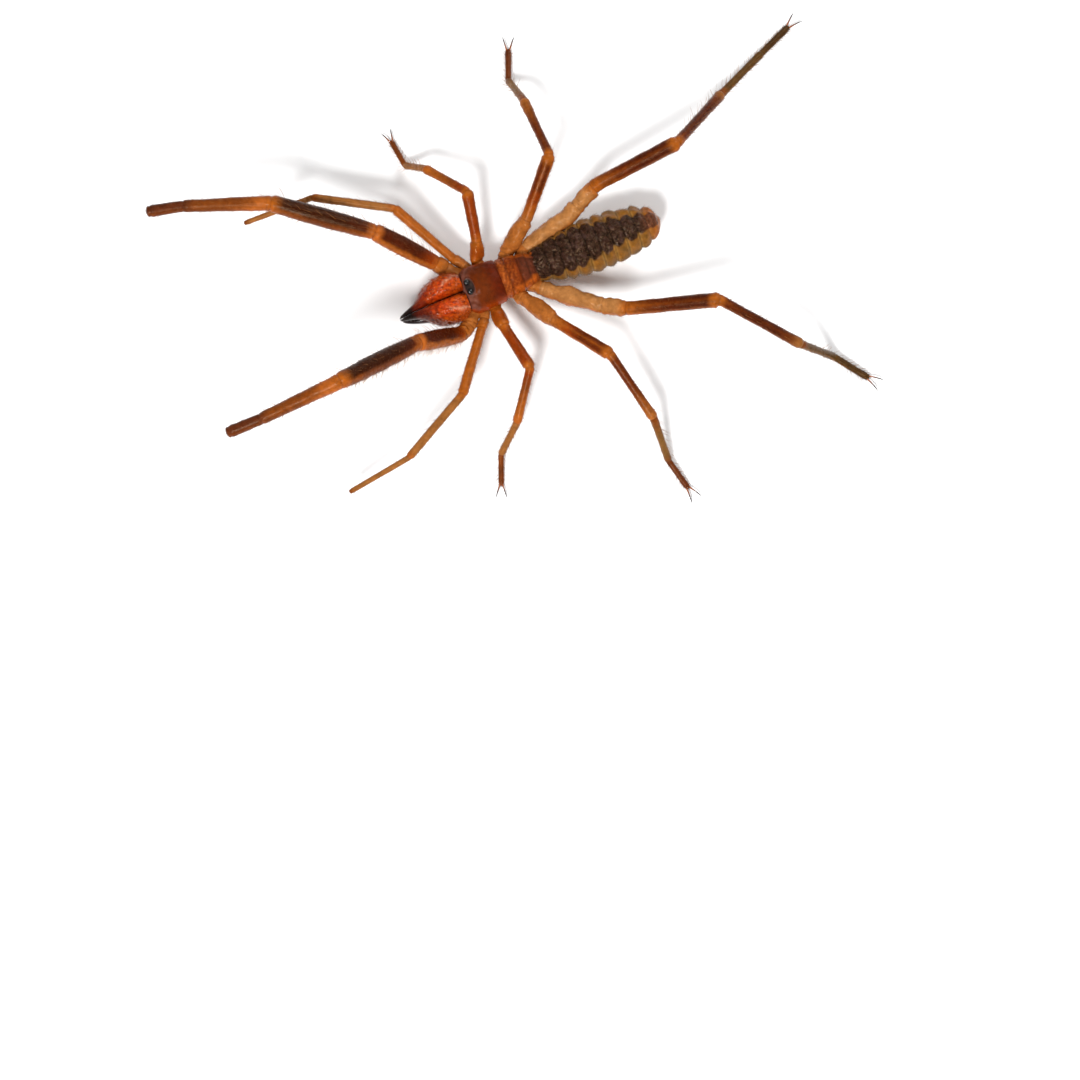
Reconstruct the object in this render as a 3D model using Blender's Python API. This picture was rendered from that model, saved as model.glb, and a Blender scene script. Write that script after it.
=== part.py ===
"""A camel spider (a large Galeodes-like solifuge), life size, standing still.

The head points along -X, the back is up, the animal's left is -Y and the feet stand on Z = 0.
Everything is modelled in millimetres and each finished mesh is scaled to metres.
The body and its jaws are lofts, each limb is a chain of tapered tubes parted at its joints
by thin cuts, and spines, claws and teeth are fused to the piece they grow from.
"""
import math
import random

import bmesh
import bpy
from mathutils import Matrix, Vector

OBJECT_NAME = "camel_spider"
MM = 0.001
GAP = 0.3
WELD = 0.0005
SEED = 7

BODY_SIDES = 20
JAW_SIDES = 14
SPINE_SIDES = 4

# Head shield: station along X, half width, top, height of the widest part, underside.
SHIELD_STATIONS = (
    (-7.0, 3.5, 11.4, 8.3, 5.0),
    (-6.6, 4.2, 12.1, 8.2, 4.5),
    (-5.6, 4.7, 12.7, 8.1, 4.2),
    (-4.0, 4.7, 13.1, 8.0, 4.1),
    (-2.2, 4.5, 13.0, 8.0, 4.1),
    (-0.8, 4.3, 12.5, 8.0, 4.2),
    (-0.15, 4.0, 12.0, 8.0, 4.4),
)
THORAX_STATIONS = (
    (0.15, 3.8, 11.7, 8.0, 4.5),
    (0.7, 4.1, 12.2, 8.0, 4.3),
    (1.9, 4.1, 12.2, 8.0, 4.2),
    (2.2, 3.8, 11.7, 8.0, 4.2),
    (2.8, 4.0, 12.1, 8.0, 4.2),
    (4.4, 3.9, 12.0, 8.0, 4.3),
    (4.8, 3.6, 11.5, 8.0, 4.3),
    (5.4, 3.6, 11.8, 8.0, 4.4),
    (7.0, 3.3, 11.5, 8.2, 4.7),
    (7.55, 2.8, 11.0, 8.2, 5.2),
)
MOUND_CENTRE = (-5.8, 0.0, 12.4)
MOUND_RADII = (1.1, 1.7, 1.0)
EYE_CENTRE = (-6.2, 0.66, 13.3)
EYE_RADIUS = 0.55

# Abdomen: share of its length, half width; the height follows the width.
ABDOMEN_START = 7.85
ABDOMEN_LENGTH = 27.0
ABDOMEN_WIDTHS = ((0.0, 3.1), (0.1, 4.0), (0.25, 5.0), (0.42, 5.6), (0.66, 5.3), (0.84, 4.4),
                  (0.95, 3.0), (1.0, 1.4))
ABDOMEN_SEGMENTS = 10
ABDOMEN_AXIS_FRONT = 8.5
ABDOMEN_AXIS_REAR = 7.4
ABDOMEN_HEIGHT_SHARE = 0.84
FURROW_DEPTH = 0.4
FURROW_SHAPE = ((0.0, 1.0), (0.22, 0.15), (0.65, 0.0))

# Chelicera: station along X, half width, top, widest height, underside; the inner side stays at JAW_INNER.
JAW_INNER = 0.16
JAW_STATIONS = (
    (-7.3, 1.95, 12.0, 8.4, 5.0),
    (-8.4, 2.3, 12.8, 8.5, 4.4),
    (-10.2, 2.42, 13.2, 8.6, 4.1),
    (-12.2, 2.35, 13.0, 8.6, 4.4),
    (-14.0, 2.05, 12.4, 8.7, 5.2),
    (-15.4, 1.65, 11.6, 8.9, 6.3),
    (-16.3, 1.15, 10.7, 9.0, 7.4),
    (-16.7, 0.6, 9.9, 9.0, 8.1),
)
FIXED_FINGER = (((-14.2, 1.7, 9.8), 1.5), ((-16.6, 1.35, 9.6), 1.05), ((-18.6, 1.05, 8.9), 0.7),
                ((-20.0, 0.8, 8.0), 0.45), ((-20.9, 0.65, 7.1), 0.2))
MOVING_FINGER = (((-12.4, 1.9, 5.7), 1.0), ((-14.0, 1.7, 5.3), 1.1), ((-16.2, 1.45, 5.0), 0.9),
                 ((-18.2, 1.15, 5.1), 0.65), ((-19.6, 0.85, 5.6), 0.42), ((-20.4, 0.7, 6.3), 0.2))
FINGER_SIDES = 8
TOOTH_LENGTH = 0.9
TOOTH_BASE = 0.32
TOOTH_SIDES = 5
FIXED_TEETH = (0.42, 0.56, 0.7)
MOVING_TEETH = (0.5, 0.62, 0.74)

# Limbs. A segment has its name, its length and its radius at its near joint, middle and far joint.
# Its angles are a heading, from straight ahead (0) out to the side (90) and back (180), and a rise
# above the horizontal, in degrees. A rise of None brings the foot down to the floor.
LIMBS = {
    "pedipalp": {
        "coxa": (-8.8, 6.2, 7.2),
        "coxa_root": (-4.6, 2.2, 6.2),
        "coxa_radius": 1.45,
        "segments": (("base", 2.4, 1.45, 1.6, 1.5), ("femur", 14.4, 1.5, 1.85, 1.65),
                     ("tibia", 21.0, 1.52, 1.88, 1.6), ("metatarsus", 17.0, 1.5, 1.32, 1.18),
                     ("tarsus", 6.6, 1.05, 1.15, 1.12)),
        "right": ((51, 24), (44, 27), (35, 11), (18, 6), (11, 5)),
        "left": ((33, 24), (3, 51), (13, 36), (2, -13), (0, -7)),
    },
    "leg_1": {
        "coxa": (-5.2, 6.0, 6.8),
        "coxa_root": (-3.4, 2.0, 6.2),
        "coxa_radius": 1.1,
        "segments": (("base", 2.2, 1.05, 1.1, 1.0), ("femur", 15.4, 0.88, 0.98, 1.02),
                     ("tibia", 16.4, 0.8, 0.82, 0.8), ("tarsus", 14.6, 0.58, 0.56, 0.52)),
        "right": ((52, 10), (60, 17), (28, 5), (4, -14)),
        "left": ((54, 20), (54, 19), (29, 3), (5, -26)),
    },
    "leg_2": {
        "coxa": (-2.4, 5.4, 7.2),
        "coxa_root": (-1.4, 2.0, 6.2),
        "coxa_radius": 1.3,
        "segments": (("base", 4.2, 1.2, 1.45, 1.25), ("femur", 10.2, 1.0, 1.12, 1.22),
                     ("tibia", 11.6, 0.88, 0.84, 0.96), ("metatarsus", 8.0, 0.74, 0.67, 0.74),
                     ("tarsus", 6.0, 0.56, 0.54, 0.58)),
        "right": ((113, 30), (100, 22), (56, -26), (49, None), (83, None)),
        "left": ((93, 26), (100, 10), (54, -23), (39, None), (69, None)),
        "claw": 2.8,
    },
    "leg_3": {
        "coxa": (3.8, 5.0, 7.2),
        "coxa_root": (2.2, 1.8, 6.2),
        "coxa_radius": 1.55,
        "segments": (("base", 8.0, 1.45, 1.7, 1.5), ("femur", 13.8, 1.15, 1.22, 1.33),
                     ("tibia", 15.3, 0.94, 0.88, 1.06), ("metatarsus", 11.1, 0.82, 0.72, 0.76),
                     ("tarsus", 6.6, 0.6, 0.6, 0.62)),
        "right": ((146, 26), (133, 26), (90, -26), (85, None), (111, None)),
        "left": ((118, 20), (125, 12), (104, -14), (92, None), (105, None)),
        "claw": 3.2,
    },
    "leg_4": {
        "coxa": (7.9, 4.4, 7.0),
        "coxa_root": (5.2, 1.8, 6.3),
        "coxa_radius": 1.7,
        "segments": (("base", 13.2, 1.5, 1.75, 1.55), ("basifemur", 5.0, 1.5, 1.62, 1.5),
                     ("femur", 19.0, 1.36, 1.42, 1.5), ("tibia", 19.0, 1.05, 0.98, 1.12),
                     ("metatarsus", 13.5, 0.84, 0.76, 0.82), ("tarsus", 8.0, 0.66, 0.7, 0.68)),
        "right": ((166, 17), (148, 17), (176, 12), (148, -34), (153, None), (155, None)),
        "left": ((139, 15), (149, 17), (160, 20), (133, -17), (155, None), (128, None)),
        "claw": 3.4,
    },
}
OVERRUN = 1.6
SWELLING = ((0.0, 0.0), (0.14, 0.5), (0.5, 1.0), (0.86, 0.5), (1.0, 0.0))
TIP_TAPER = ((0.0, 0.95), (0.55, 0.45))
ANKLE_HEIGHT = 1.7
TOE_SINK = 0.1
CLAW_TIP_HEIGHT = 0.35
CLAW_RADIUS = 0.27
CLAW_TIP_RADIUS = 0.09
CLAW_SPREAD = 17
CLAW_SUNK = 0.6
CLAW_ARCH = ((0.55, 0.5), (0.85, 0.42))

# Spines: per segment, how many pairs, the length at the middle and how many more stand on its back.
SPINE_BASE = 0.26
SPINE_SUNK = 0.35
SPINE_LEAN = 38
SPINE_TIP = 0.25
SPINE_JITTER = (8.0, 0.03, 0.85, 1.1)
SPINE_SPREAD = (-24, 10)
SPINE_FIRST = 0.16
SPINE_RUN = 0.68
SPINE_BACK_FIRST = 0.08
SPINE_BACK_RUN = 0.88
SPINE_BACK_TURN = 15
SPINED = {
    "pedipalp": {"femur": (3, 2.4, 3), "tibia": (5, 3.6, 6), "metatarsus": (5, 2.8, 3)},
    "leg_2": {"metatarsus": (3, 1.8, 0), "tarsus": (2, 1.2, 0)},
    "leg_3": {"metatarsus": (4, 1.9, 0), "tarsus": (2, 1.3, 0)},
    "leg_4": {"tibia": (3, 2.2, 0), "metatarsus": (4, 1.9, 0), "tarsus": (2, 1.4, 0)},
}

# Racket organs under the first segments of the rear legs: stalk and fan.
RACKET_COUNT = 5
RACKET_FIRST = 0.12
RACKET_RUN = 0.7
RACKET_STALK = 0.3
RACKET_ROOT = 1.0
RACKET_FOOT = 2.4
RACKET_FAN = (0.75, 0.3, 0.5)

COLOURS = {
    "shield": (0.16, 0.045, 0.012),
    "thorax": (0.25, 0.08, 0.015),
    "abdomen": (0.11, 0.055, 0.03),
    "jaw": (0.42, 0.05, 0.012),
    "finger": (0.05, 0.01, 0.006),
    "eye": (0.006, 0.005, 0.005),
    "base": (0.38, 0.2, 0.08),
    "femur": (0.2, 0.045, 0.01),
    "tibia": (0.14, 0.035, 0.006),
    "metatarsus": (0.3, 0.14, 0.05),
    "tarsus": (0.12, 0.045, 0.012),
}

parts = bpy.data.collections.new(OBJECT_NAME)
random_source = random.Random(SEED)


def clear_scene():
    for old in list(bpy.data.objects):
        bpy.data.objects.remove(old)


def material(name):
    made = bpy.data.materials.get(name)
    if made is None:
        made = bpy.data.materials.new(name)
        made.use_nodes = True
        shader = made.node_tree.nodes["Principled BSDF"]
        shader.inputs["Base Color"].default_value = (*COLOURS[name], 1.0)
        shader.inputs["Roughness"].default_value = 0.08 if name == "eye" else 0.35
        shader.inputs["Metallic"].default_value = 0.0
    return made


def as_object(name, shape):
    """A new object from a bmesh, which is used up."""
    bmesh.ops.recalc_face_normals(shape, faces=shape.faces)
    mesh = bpy.data.meshes.new(name)
    shape.to_mesh(mesh)
    shape.free()
    made = bpy.data.objects.new(name, mesh)
    bpy.context.scene.collection.objects.link(made)
    return made


def loft(rings):
    """A closed loft through rings of equal count, with flat ends."""
    shape = bmesh.new()
    rows = [[shape.verts.new(point) for point in ring] for ring in rings]
    for row, following in zip(rows, rows[1:]):
        for step in range(len(row)):
            after = (step + 1) % len(row)
            shape.faces.new((row[step], row[after], following[after], following[step]))
    shape.faces.new(rows[0])
    shape.faces.new(rows[-1])
    return shape


def oval(x, y, half_width, top, widest, underside, sides):
    """A ring across X whose upper and lower halves have their own heights."""
    ring = []
    for step in range(sides):
        angle = math.tau * step / sides
        height = top - widest if math.sin(angle) > 0 else widest - underside
        ring.append(Vector((x, y + half_width * math.cos(angle), widest + height * math.sin(angle))))
    return ring


def tube(points, radii, sides=8):
    """A closed tapered tube through points, with a radius at each."""
    curve = bpy.data.curves.new("tube", "CURVE")
    curve.dimensions = "3D"
    curve.bevel_depth = 1.0
    curve.bevel_resolution = sides // 2 - 2
    curve.use_fill_caps = True
    spline = curve.splines.new("POLY")
    spline.points.add(len(points) - 1)
    for point, place, radius in zip(spline.points, points, radii):
        point.co = (*place, 1.0)
        point.radius = radius
    drawn = bpy.data.objects.new("tube", curve)
    bpy.context.scene.collection.objects.link(drawn)
    bpy.context.view_layer.update()
    evaluated = drawn.evaluated_get(bpy.context.evaluated_depsgraph_get())
    mesh = bpy.data.meshes.new_from_object(evaluated)
    bpy.data.objects.remove(drawn)
    shape = bmesh.new()
    shape.from_mesh(mesh)
    bmesh.ops.remove_doubles(shape, verts=shape.verts, dist=WELD)
    return shape


def ball(centre, radii, segments=12, rings=8):
    shape = bmesh.new()
    placing = Matrix.Translation(centre) @ Matrix.Diagonal((*radii, 1.0))
    bmesh.ops.create_uvsphere(shape, u_segments=segments, v_segments=rings, radius=1.0, matrix=placing)
    return shape


def cut_off(shape, place, outward):
    """Cuts away what lies beyond a plane and closes the cut."""
    everything = shape.verts[:] + shape.edges[:] + shape.faces[:]
    bmesh.ops.bisect_plane(shape, geom=everything, dist=WELD, plane_co=place, plane_no=outward,
                           clear_outer=True)
    rim = [edge for edge in shape.edges if edge.is_boundary]
    bmesh.ops.holes_fill(shape, edges=rim, sides=0)
    return shape


def combine(target, pieces, operation):
    """One Boolean with a collection of closed meshes, applied, keeping the largest closed surface."""
    if not pieces:
        return target
    tools = bpy.data.collections.new("tools")
    for piece in pieces:
        tools.objects.link(piece)
    change = target.modifiers.new("combine", "BOOLEAN")
    change.operation = operation
    change.solver = "EXACT"
    change.operand_type = "COLLECTION"
    change.collection = tools
    bpy.context.view_layer.update()
    evaluated = target.evaluated_get(bpy.context.evaluated_depsgraph_get())
    mesh = bpy.data.meshes.new_from_object(evaluated)
    target.modifiers.remove(change)
    target.data = mesh
    for piece in pieces:
        bpy.data.objects.remove(piece)
    bpy.data.collections.remove(tools)
    keep_largest(target)
    return target


def keep_largest(target):
    shape = bmesh.new()
    shape.from_mesh(target.data)
    bmesh.ops.remove_doubles(shape, verts=shape.verts, dist=WELD)
    bmesh.ops.dissolve_degenerate(shape, edges=shape.edges, dist=WELD)
    unseen = set(shape.faces)
    islands = []
    while unseen:
        island = {unseen.pop()}
        edge_of_island = list(island)
        while edge_of_island:
            face = edge_of_island.pop()
            for edge in face.edges:
                for other in edge.link_faces:
                    if other in unseen:
                        unseen.discard(other)
                        island.add(other)
                        edge_of_island.append(other)
        islands.append(island)
    largest = max(islands, key=lambda island: sum(face.calc_area() for face in island))
    scraps = [face for island in islands if island is not largest for face in island]
    if scraps:
        bmesh.ops.delete(shape, geom=scraps, context="FACES")
    shape.to_mesh(target.data)
    shape.free()


def finish(target, name, colour, origin=(0.0, 0.0, 0.0)):
    """Names a finished piece, sets its origin at its joint and brings it to metres."""
    target.name = name
    target.data.name = name
    target.data.materials.clear()
    target.data.materials.append(material(colour))
    target.data.transform(Matrix.Translation(-Vector(origin)))
    target.data.transform(Matrix.Scale(MM, 4))
    target.data.shade_smooth()
    target.data.set_sharp_from_angle(angle=math.radians(40))
    target.location = Vector(origin) * MM
    bpy.context.scene.collection.objects.unlink(target)
    parts.objects.link(target)
    return target


def sided(point, side):
    """A named place on the right, or mirrored on the left."""
    return Vector((point[0], point[1] * side, point[2]))


def direction(heading, rise, side):
    turn = math.radians(heading)
    lift = math.radians(rise)
    flat = math.cos(lift)
    return Vector((-math.cos(turn) * flat, math.sin(turn) * flat * side, math.sin(lift)))


def limb_joints(limb, side):
    """The joints of a limb; the last two segments of a walking leg come down to the floor."""
    joints = [sided(limb["coxa"], side)]
    angles = limb["right" if side > 0 else "left"]
    count = len(angles)
    for number, ((name, length, *_), (heading, rise)) in enumerate(zip(limb["segments"], angles)):
        if rise is None:
            toe_radius = limb["segments"][-1][4]
            target = ANKLE_HEIGHT if number == count - 2 else toe_radius - TOE_SINK
            rise = math.degrees(math.asin((target - joints[-1].z) / length))
        joints.append(joints[-1] + direction(heading, rise, side) * length)
    return joints


def joint_planes(root, joints):
    """At each joint, the direction across which it is parted."""
    runs = [(end - start).normalized() for start, end in zip([root] + joints, joints)]
    return [(run + following).normalized() for run, following in zip(runs, runs[1:])] + [runs[-1]]


def segment_body(start, end, radii_named, sides, cuts, tail):
    """One limb segment: narrow at its joints, full between, cut square to the joints."""
    near, full, far = radii_named
    run = (end - start).normalized()
    swollen = full - (near + far) / 2
    points = [start - run * full * OVERRUN] + [start.lerp(end, share) for share, _ in SWELLING]
    radii = [near] + [near + (far - near) * share + swollen * swell for share, swell in SWELLING]
    if tail:
        points = points[:-1] + [end + run * far * reach for reach, _ in TIP_TAPER]
        radii = radii[:-1] + [far * taper for _, taper in TIP_TAPER]
    else:
        points.append(end + run * full * OVERRUN)
        radii.append(far)
    shape = tube(points, radii, sides)
    start_cut, end_cut = cuts
    cut_off(shape, start + start_cut * GAP / 2, -start_cut)
    if not tail:
        cut_off(shape, end - end_cut * GAP / 2, end_cut)
    return shape


def cone(root, tip, base, sides=SPINE_SIDES):
    """A thin spine from a sunk root to its tip."""
    along = tip - root
    shape = bmesh.new()
    placing = Matrix.Translation(root.lerp(tip, 0.5)) @ along.to_track_quat("Z", "Y").to_matrix().to_4x4()
    bmesh.ops.create_cone(shape, cap_ends=True, segments=sides, radius1=base, radius2=base * SPINE_TIP,
                          depth=along.length, matrix=placing)
    return as_object("spine", shape)


def spine(centre, run, outward, full, length, floor_clear):
    """One spine on a segment's skin, leaning to the segment's far end."""
    lean_turn, _, shortest, longest = SPINE_JITTER
    lie = math.radians(SPINE_LEAN + random_source.uniform(-lean_turn, lean_turn))
    aim = run * math.sin(lie) + outward * math.cos(lie)
    root = centre + outward * (full - SPINE_SUNK)
    tip = root + aim * (length * random_source.uniform(shortest, longest) + SPINE_SUNK)
    tip.z = max(tip.z, floor_clear)
    return cone(root, tip, SPINE_BASE)


def segment_spines(start, end, full, counts, floor_clear):
    """Pairs of spines along the sides of a segment and single ones on its back."""
    pairs, length, upright = counts
    run = (end - start).normalized()
    across = run.cross(Vector((0, 0, 1))).normalized()
    above = across.cross(run).normalized()
    slide = SPINE_JITTER[1]
    made = []
    for pair in range(pairs):
        share = SPINE_FIRST + SPINE_RUN * (pair + 0.5) / pairs
        for lean in (-1, 1):
            spread = math.radians(random_source.uniform(*SPINE_SPREAD))
            outward = across * lean * math.cos(spread) + above * math.sin(spread)
            centre = start.lerp(end, share + random_source.uniform(-slide, slide))
            made.append(spine(centre, run, outward, full, length, floor_clear))
    for number in range(upright):
        share = SPINE_BACK_FIRST + SPINE_BACK_RUN * (number + 0.5) / upright
        turn = math.radians(SPINE_BACK_TURN) * (1 if number % 2 else -1)
        outward = above * math.cos(turn) + across * math.sin(turn)
        made.append(spine(start.lerp(end, share), run, outward, full, length, floor_clear))
    return made


def claws(end, heading_run, length, side_radius):
    """Two curved claws at the tip of a walking leg, their tips just above the floor."""
    made = []
    level = Vector((heading_run.x, heading_run.y, 0)).normalized()
    across = level.cross(Vector((0, 0, 1)))
    for lean in (-1, 1):
        spread = math.radians(CLAW_SPREAD) * lean
        aim = level * math.cos(spread) + across * math.sin(spread)
        root = end - level * CLAW_SUNK + across * lean * side_radius * 0.25
        places = [root]
        for share, arch in CLAW_ARCH:
            place = root + aim * length * share
            place.z = end.z + arch
            places.append(place)
        tip = root + aim * (length + CLAW_SUNK)
        tip.z = CLAW_TIP_HEIGHT
        shape = tube(places + [tip], (CLAW_RADIUS, CLAW_RADIUS, CLAW_RADIUS, CLAW_TIP_RADIUS), 6)
        made.append(as_object("claw", shape))
    return made


def rackets(start, end):
    """Racket organs: small fans on stalks under the first segment of a rear leg."""
    run = (end - start).normalized()
    made = []
    for number in range(RACKET_COUNT):
        centre = start.lerp(end, RACKET_FIRST + RACKET_RUN * number / (RACKET_COUNT - 1))
        foot = centre - Vector((0, 0, RACKET_FOOT))
        stalk = tube((centre - Vector((0, 0, RACKET_ROOT)), foot), (RACKET_STALK, RACKET_STALK), 4)
        made.append(as_object("stalk", stalk))
        fan = ball((0, 0, 0), RACKET_FAN, 6, 4)
        turn = run.to_track_quat("X", "Z").to_matrix().to_4x4()
        bmesh.ops.transform(fan, matrix=Matrix.Translation(foot) @ turn, verts=fan.verts)
        made.append(as_object("fan", fan))
    return made


def build_limb(kind, side):
    """All the nodes of one limb."""
    limb = LIMBS[kind]
    word = "right" if side > 0 else "left"
    joints = limb_joints(limb, side)
    planes = joint_planes(sided(limb["coxa_root"], side), joints)
    sides = 10 if kind in ("pedipalp", "leg_4") else 8
    last = len(limb["segments"]) - 1
    for number, (name, _, slim, full, far) in enumerate(limb["segments"]):
        start, end = joints[number], joints[number + 1]
        cuts = planes[number], planes[number + 1]
        shape = segment_body(start, end, (slim, full, far), sides, cuts, number == last)
        body = as_object(name, shape)
        extras = []
        if name in SPINED.get(kind, {}):
            extras += segment_spines(start, end, (slim + full) / 2, SPINED[kind][name], CLAW_TIP_HEIGHT)
        if number == last and "claw" in limb:
            extras += claws(end, end - start, limb["claw"], slim)
        if kind == "leg_4" and name == "base":
            extras += rackets(start, end)
        combine(body, extras, "UNION")
        if number == last and "claw" in limb:
            sole = bmesh.new()
            sole.from_mesh(body.data)
            cut_off(sole, Vector((0, 0, 0)), Vector((0, 0, -1)))
            sole.to_mesh(body.data)
            sole.free()
        colour = name if name in COLOURS else "femur"
        finish(body, f"{kind}_{name}_{word}", colour, start)


def coxa(kind, side):
    """The fixed first segment of a limb, a rib on the underside of the body."""
    limb = LIMBS[kind]
    root = sided(limb["coxa_root"], side)
    end = sided(limb["coxa"], side)
    joints = limb_joints(limb, side)
    plane = joint_planes(root, joints)[0]
    radius = limb["coxa_radius"]
    run = (end - root).normalized()
    shape = tube((root, end + run * radius * 1.6), (radius * 1.05, radius), 10)
    cut_off(shape, end - plane * GAP / 2, plane)
    return as_object("coxa", shape)


def limb_room(kind, side):
    """The first segments of a limb grown by the gap, which a soft neighbour keeps clear."""
    limb = LIMBS[kind]
    start, end = limb_joints(limb, side)[:2]
    full = limb["segments"][0][3]
    points = (sided(limb["coxa_root"], side), start, start.lerp(end, 0.5), end)
    grown = full + GAP * 1.3
    return as_object("room", tube(points, (grown, grown, grown, grown), 12))


def base_room(kind, side):
    """The free space round a limb's first segment, from the end of its coxa on."""
    limb = LIMBS[kind]
    joints = limb_joints(limb, side)
    plane = joint_planes(sided(limb["coxa_root"], side), joints)[0]
    start, end = joints[:2]
    grown = limb["segments"][0][3] + GAP
    back = start - (end - start).normalized() * grown * 1.6
    shape = tube((back, start, end), (grown, grown, grown), 12)
    return as_object("room", cut_off(shape, start - plane * GAP / 3, -plane))


def head():
    rings = [oval(x, 0.0, *sizes, BODY_SIDES) for x, *sizes in SHIELD_STATIONS]
    shield = as_object("head", loft(rings))
    extras = [as_object("mound", ball(MOUND_CENTRE, MOUND_RADII, 14, 8))]
    for side in (-1, 1):
        extras += [coxa(kind, side) for kind in ("pedipalp", "leg_1", "leg_2")]
    combine(shield, extras, "UNION")
    rooms = []
    for side in (-1, 1):
        grown = EYE_RADIUS + GAP
        rooms.append(as_object("room", ball(sided(EYE_CENTRE, side), (grown, grown, grown), 14, 8)))
        rooms += [base_room(kind, side) for kind in ("pedipalp", "leg_1", "leg_2")]
    combine(shield, rooms, "DIFFERENCE")
    finish(shield, "head_shield", "shield")


def eyes():
    for side, word in ((1, "right"), (-1, "left")):
        centre = sided(EYE_CENTRE, side)
        shape = ball(centre, (EYE_RADIUS,) * 3, 12, 8)
        finish(as_object("eye", shape), f"eye_{word}", "eye", centre)


def thorax():
    rings = [oval(x, 0.0, *sizes, BODY_SIDES) for x, *sizes in THORAX_STATIONS]
    body = as_object("thorax", loft(rings))
    combine(body, [coxa(kind, side) for kind in ("leg_3", "leg_4") for side in (-1, 1)], "UNION")
    combine(body, [base_room(kind, side) for kind in ("leg_3", "leg_4") for side in (-1, 1)], "DIFFERENCE")
    finish(body, "thorax", "thorax")


def abdomen_half_width(share):
    """The abdomen's half width along its length, eased between the named shares."""
    for (near, near_width), (far, far_width) in zip(ABDOMEN_WIDTHS, ABDOMEN_WIDTHS[1:]):
        if share <= far:
            return near_width + (far_width - near_width) * (share - near) / (far - near)
    return ABDOMEN_WIDTHS[-1][1]


def abdomen():
    rings = []
    for segment in range(ABDOMEN_SEGMENTS):
        for within, furrow in FURROW_SHAPE:
            rings.append(((segment + within) / ABDOMEN_SEGMENTS, furrow))
    rings.append((1.0, 0.0))
    made = []
    for share, furrow in rings:
        width = abdomen_half_width(share) - furrow * FURROW_DEPTH
        axis = ABDOMEN_AXIS_FRONT + (ABDOMEN_AXIS_REAR - ABDOMEN_AXIS_FRONT) * share
        height = width * ABDOMEN_HEIGHT_SHARE
        x = ABDOMEN_START + ABDOMEN_LENGTH * share
        made.append(oval(x, 0.0, width, axis + height, axis, axis - height, BODY_SIDES))
    body = as_object("abdomen", loft(made))
    combine(body, [limb_room("leg_4", side) for side in (-1, 1)], "DIFFERENCE")
    finish(body, "abdomen", "abdomen", (ABDOMEN_START, 0.0, ABDOMEN_AXIS_FRONT))


def teeth(points, radii, upward, shares):
    """Teeth along the biting edge of a finger, the largest in the middle."""
    made = []
    for number, share in enumerate(shares):
        place = share * (len(points) - 1)
        near = int(place)
        centre = points[near].lerp(points[near + 1], place - near)
        radius = radii[near] + (radii[near + 1] - radii[near]) * (place - near)
        length = TOOTH_LENGTH * (0.6 if number % 2 else 1.0) * (0.5 + radius)
        root = centre + Vector((0, 0, upward * radius * 0.4))
        tip = root + Vector((-0.2, 0, upward * (radius * 0.6 + length)))
        made.append(cone(root, tip, TOOTH_BASE, TOOTH_SIDES))
    return made


def chelicera(side, word):
    """One jaw: its bulbous hand with the fixed finger, and the moving finger below."""
    rings = []
    for x, width, top, widest, low in JAW_STATIONS:
        rings.append(oval(x, side * (JAW_INNER + width), width, top, widest, low, JAW_SIDES))
    hand = as_object("hand", loft(rings))
    fixed = [sided(point, side) for point, _ in FIXED_FINGER]
    fixed_radii = [radius for _, radius in FIXED_FINGER]
    moving = [sided(point, side) for point, _ in MOVING_FINGER]
    moving_radii = [radius for _, radius in MOVING_FINGER]
    finger = as_object("finger", tube(fixed, fixed_radii, FINGER_SIDES))
    combine(hand, [finger] + teeth(fixed, fixed_radii, -1, FIXED_TEETH), "UNION")
    room_start = moving[0] + (moving[0] - moving[1]).normalized() * GAP
    room_points = [room_start] + moving[1:4]
    room_radii = [radius + GAP for radius in moving_radii[:4]]
    rooms = [as_object("room", tube(room_points, room_radii, 12)), limb_room("pedipalp", side)]
    combine(hand, rooms, "DIFFERENCE")
    hinge = sided((JAW_STATIONS[0][0], JAW_INNER + JAW_STATIONS[0][1], JAW_STATIONS[0][3]), side)
    finish(hand, f"chelicera_{word}", "jaw", hinge)
    lower = as_object("lower", tube(moving, moving_radii, FINGER_SIDES))
    combine(lower, teeth(moving, moving_radii, 1, MOVING_TEETH), "UNION")
    finish(lower, f"chelicera_finger_{word}", "finger", moving[0])


def set_origin():
    """Stands the frame's origin under the middle of the whole animal, on the floor."""
    bpy.context.view_layer.update()
    corners = [made.matrix_world @ vertex.co for made in parts.objects for vertex in made.data.vertices]
    low = Vector([min(corner[axis] for corner in corners) for axis in range(3)])
    high = Vector([max(corner[axis] for corner in corners) for axis in range(3)])
    frame = bpy.data.objects.new(f"{OBJECT_NAME}_frame", None)
    bpy.context.scene.collection.objects.link(frame)
    for made in parts.objects:
        made.parent = frame
    frame.location = (-(low.x + high.x) / 2, -(low.y + high.y) / 2, -low.z)
    print("size in mm", [round(value / MM, 2) for value in high - low], "lowest", round(low.z / MM, 3))
    print("origin moved by mm", [round(value / MM, 3) for value in frame.location])


def main():
    clear_scene()
    bpy.context.scene.collection.children.link(parts)
    head()
    eyes()
    thorax()
    abdomen()
    for side, word in ((1, "right"), (-1, "left")):
        chelicera(side, word)
        for kind in LIMBS:
            build_limb(kind, side)
    set_origin()


main()
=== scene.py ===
"""A camel spider on a pale studio floor: skin, jaws, eyes, claws and bristles over its solids.

Sizes are millimetres in the body's own frame: the head points along -X, the rear edge of the
head shield is at X = 0, the midline at Y = 0 and the floor at Z = 0. Each finished piece is
brought to metres and to the frame's place, which the eyes give.
"""
import math
from collections import namedtuple

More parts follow.
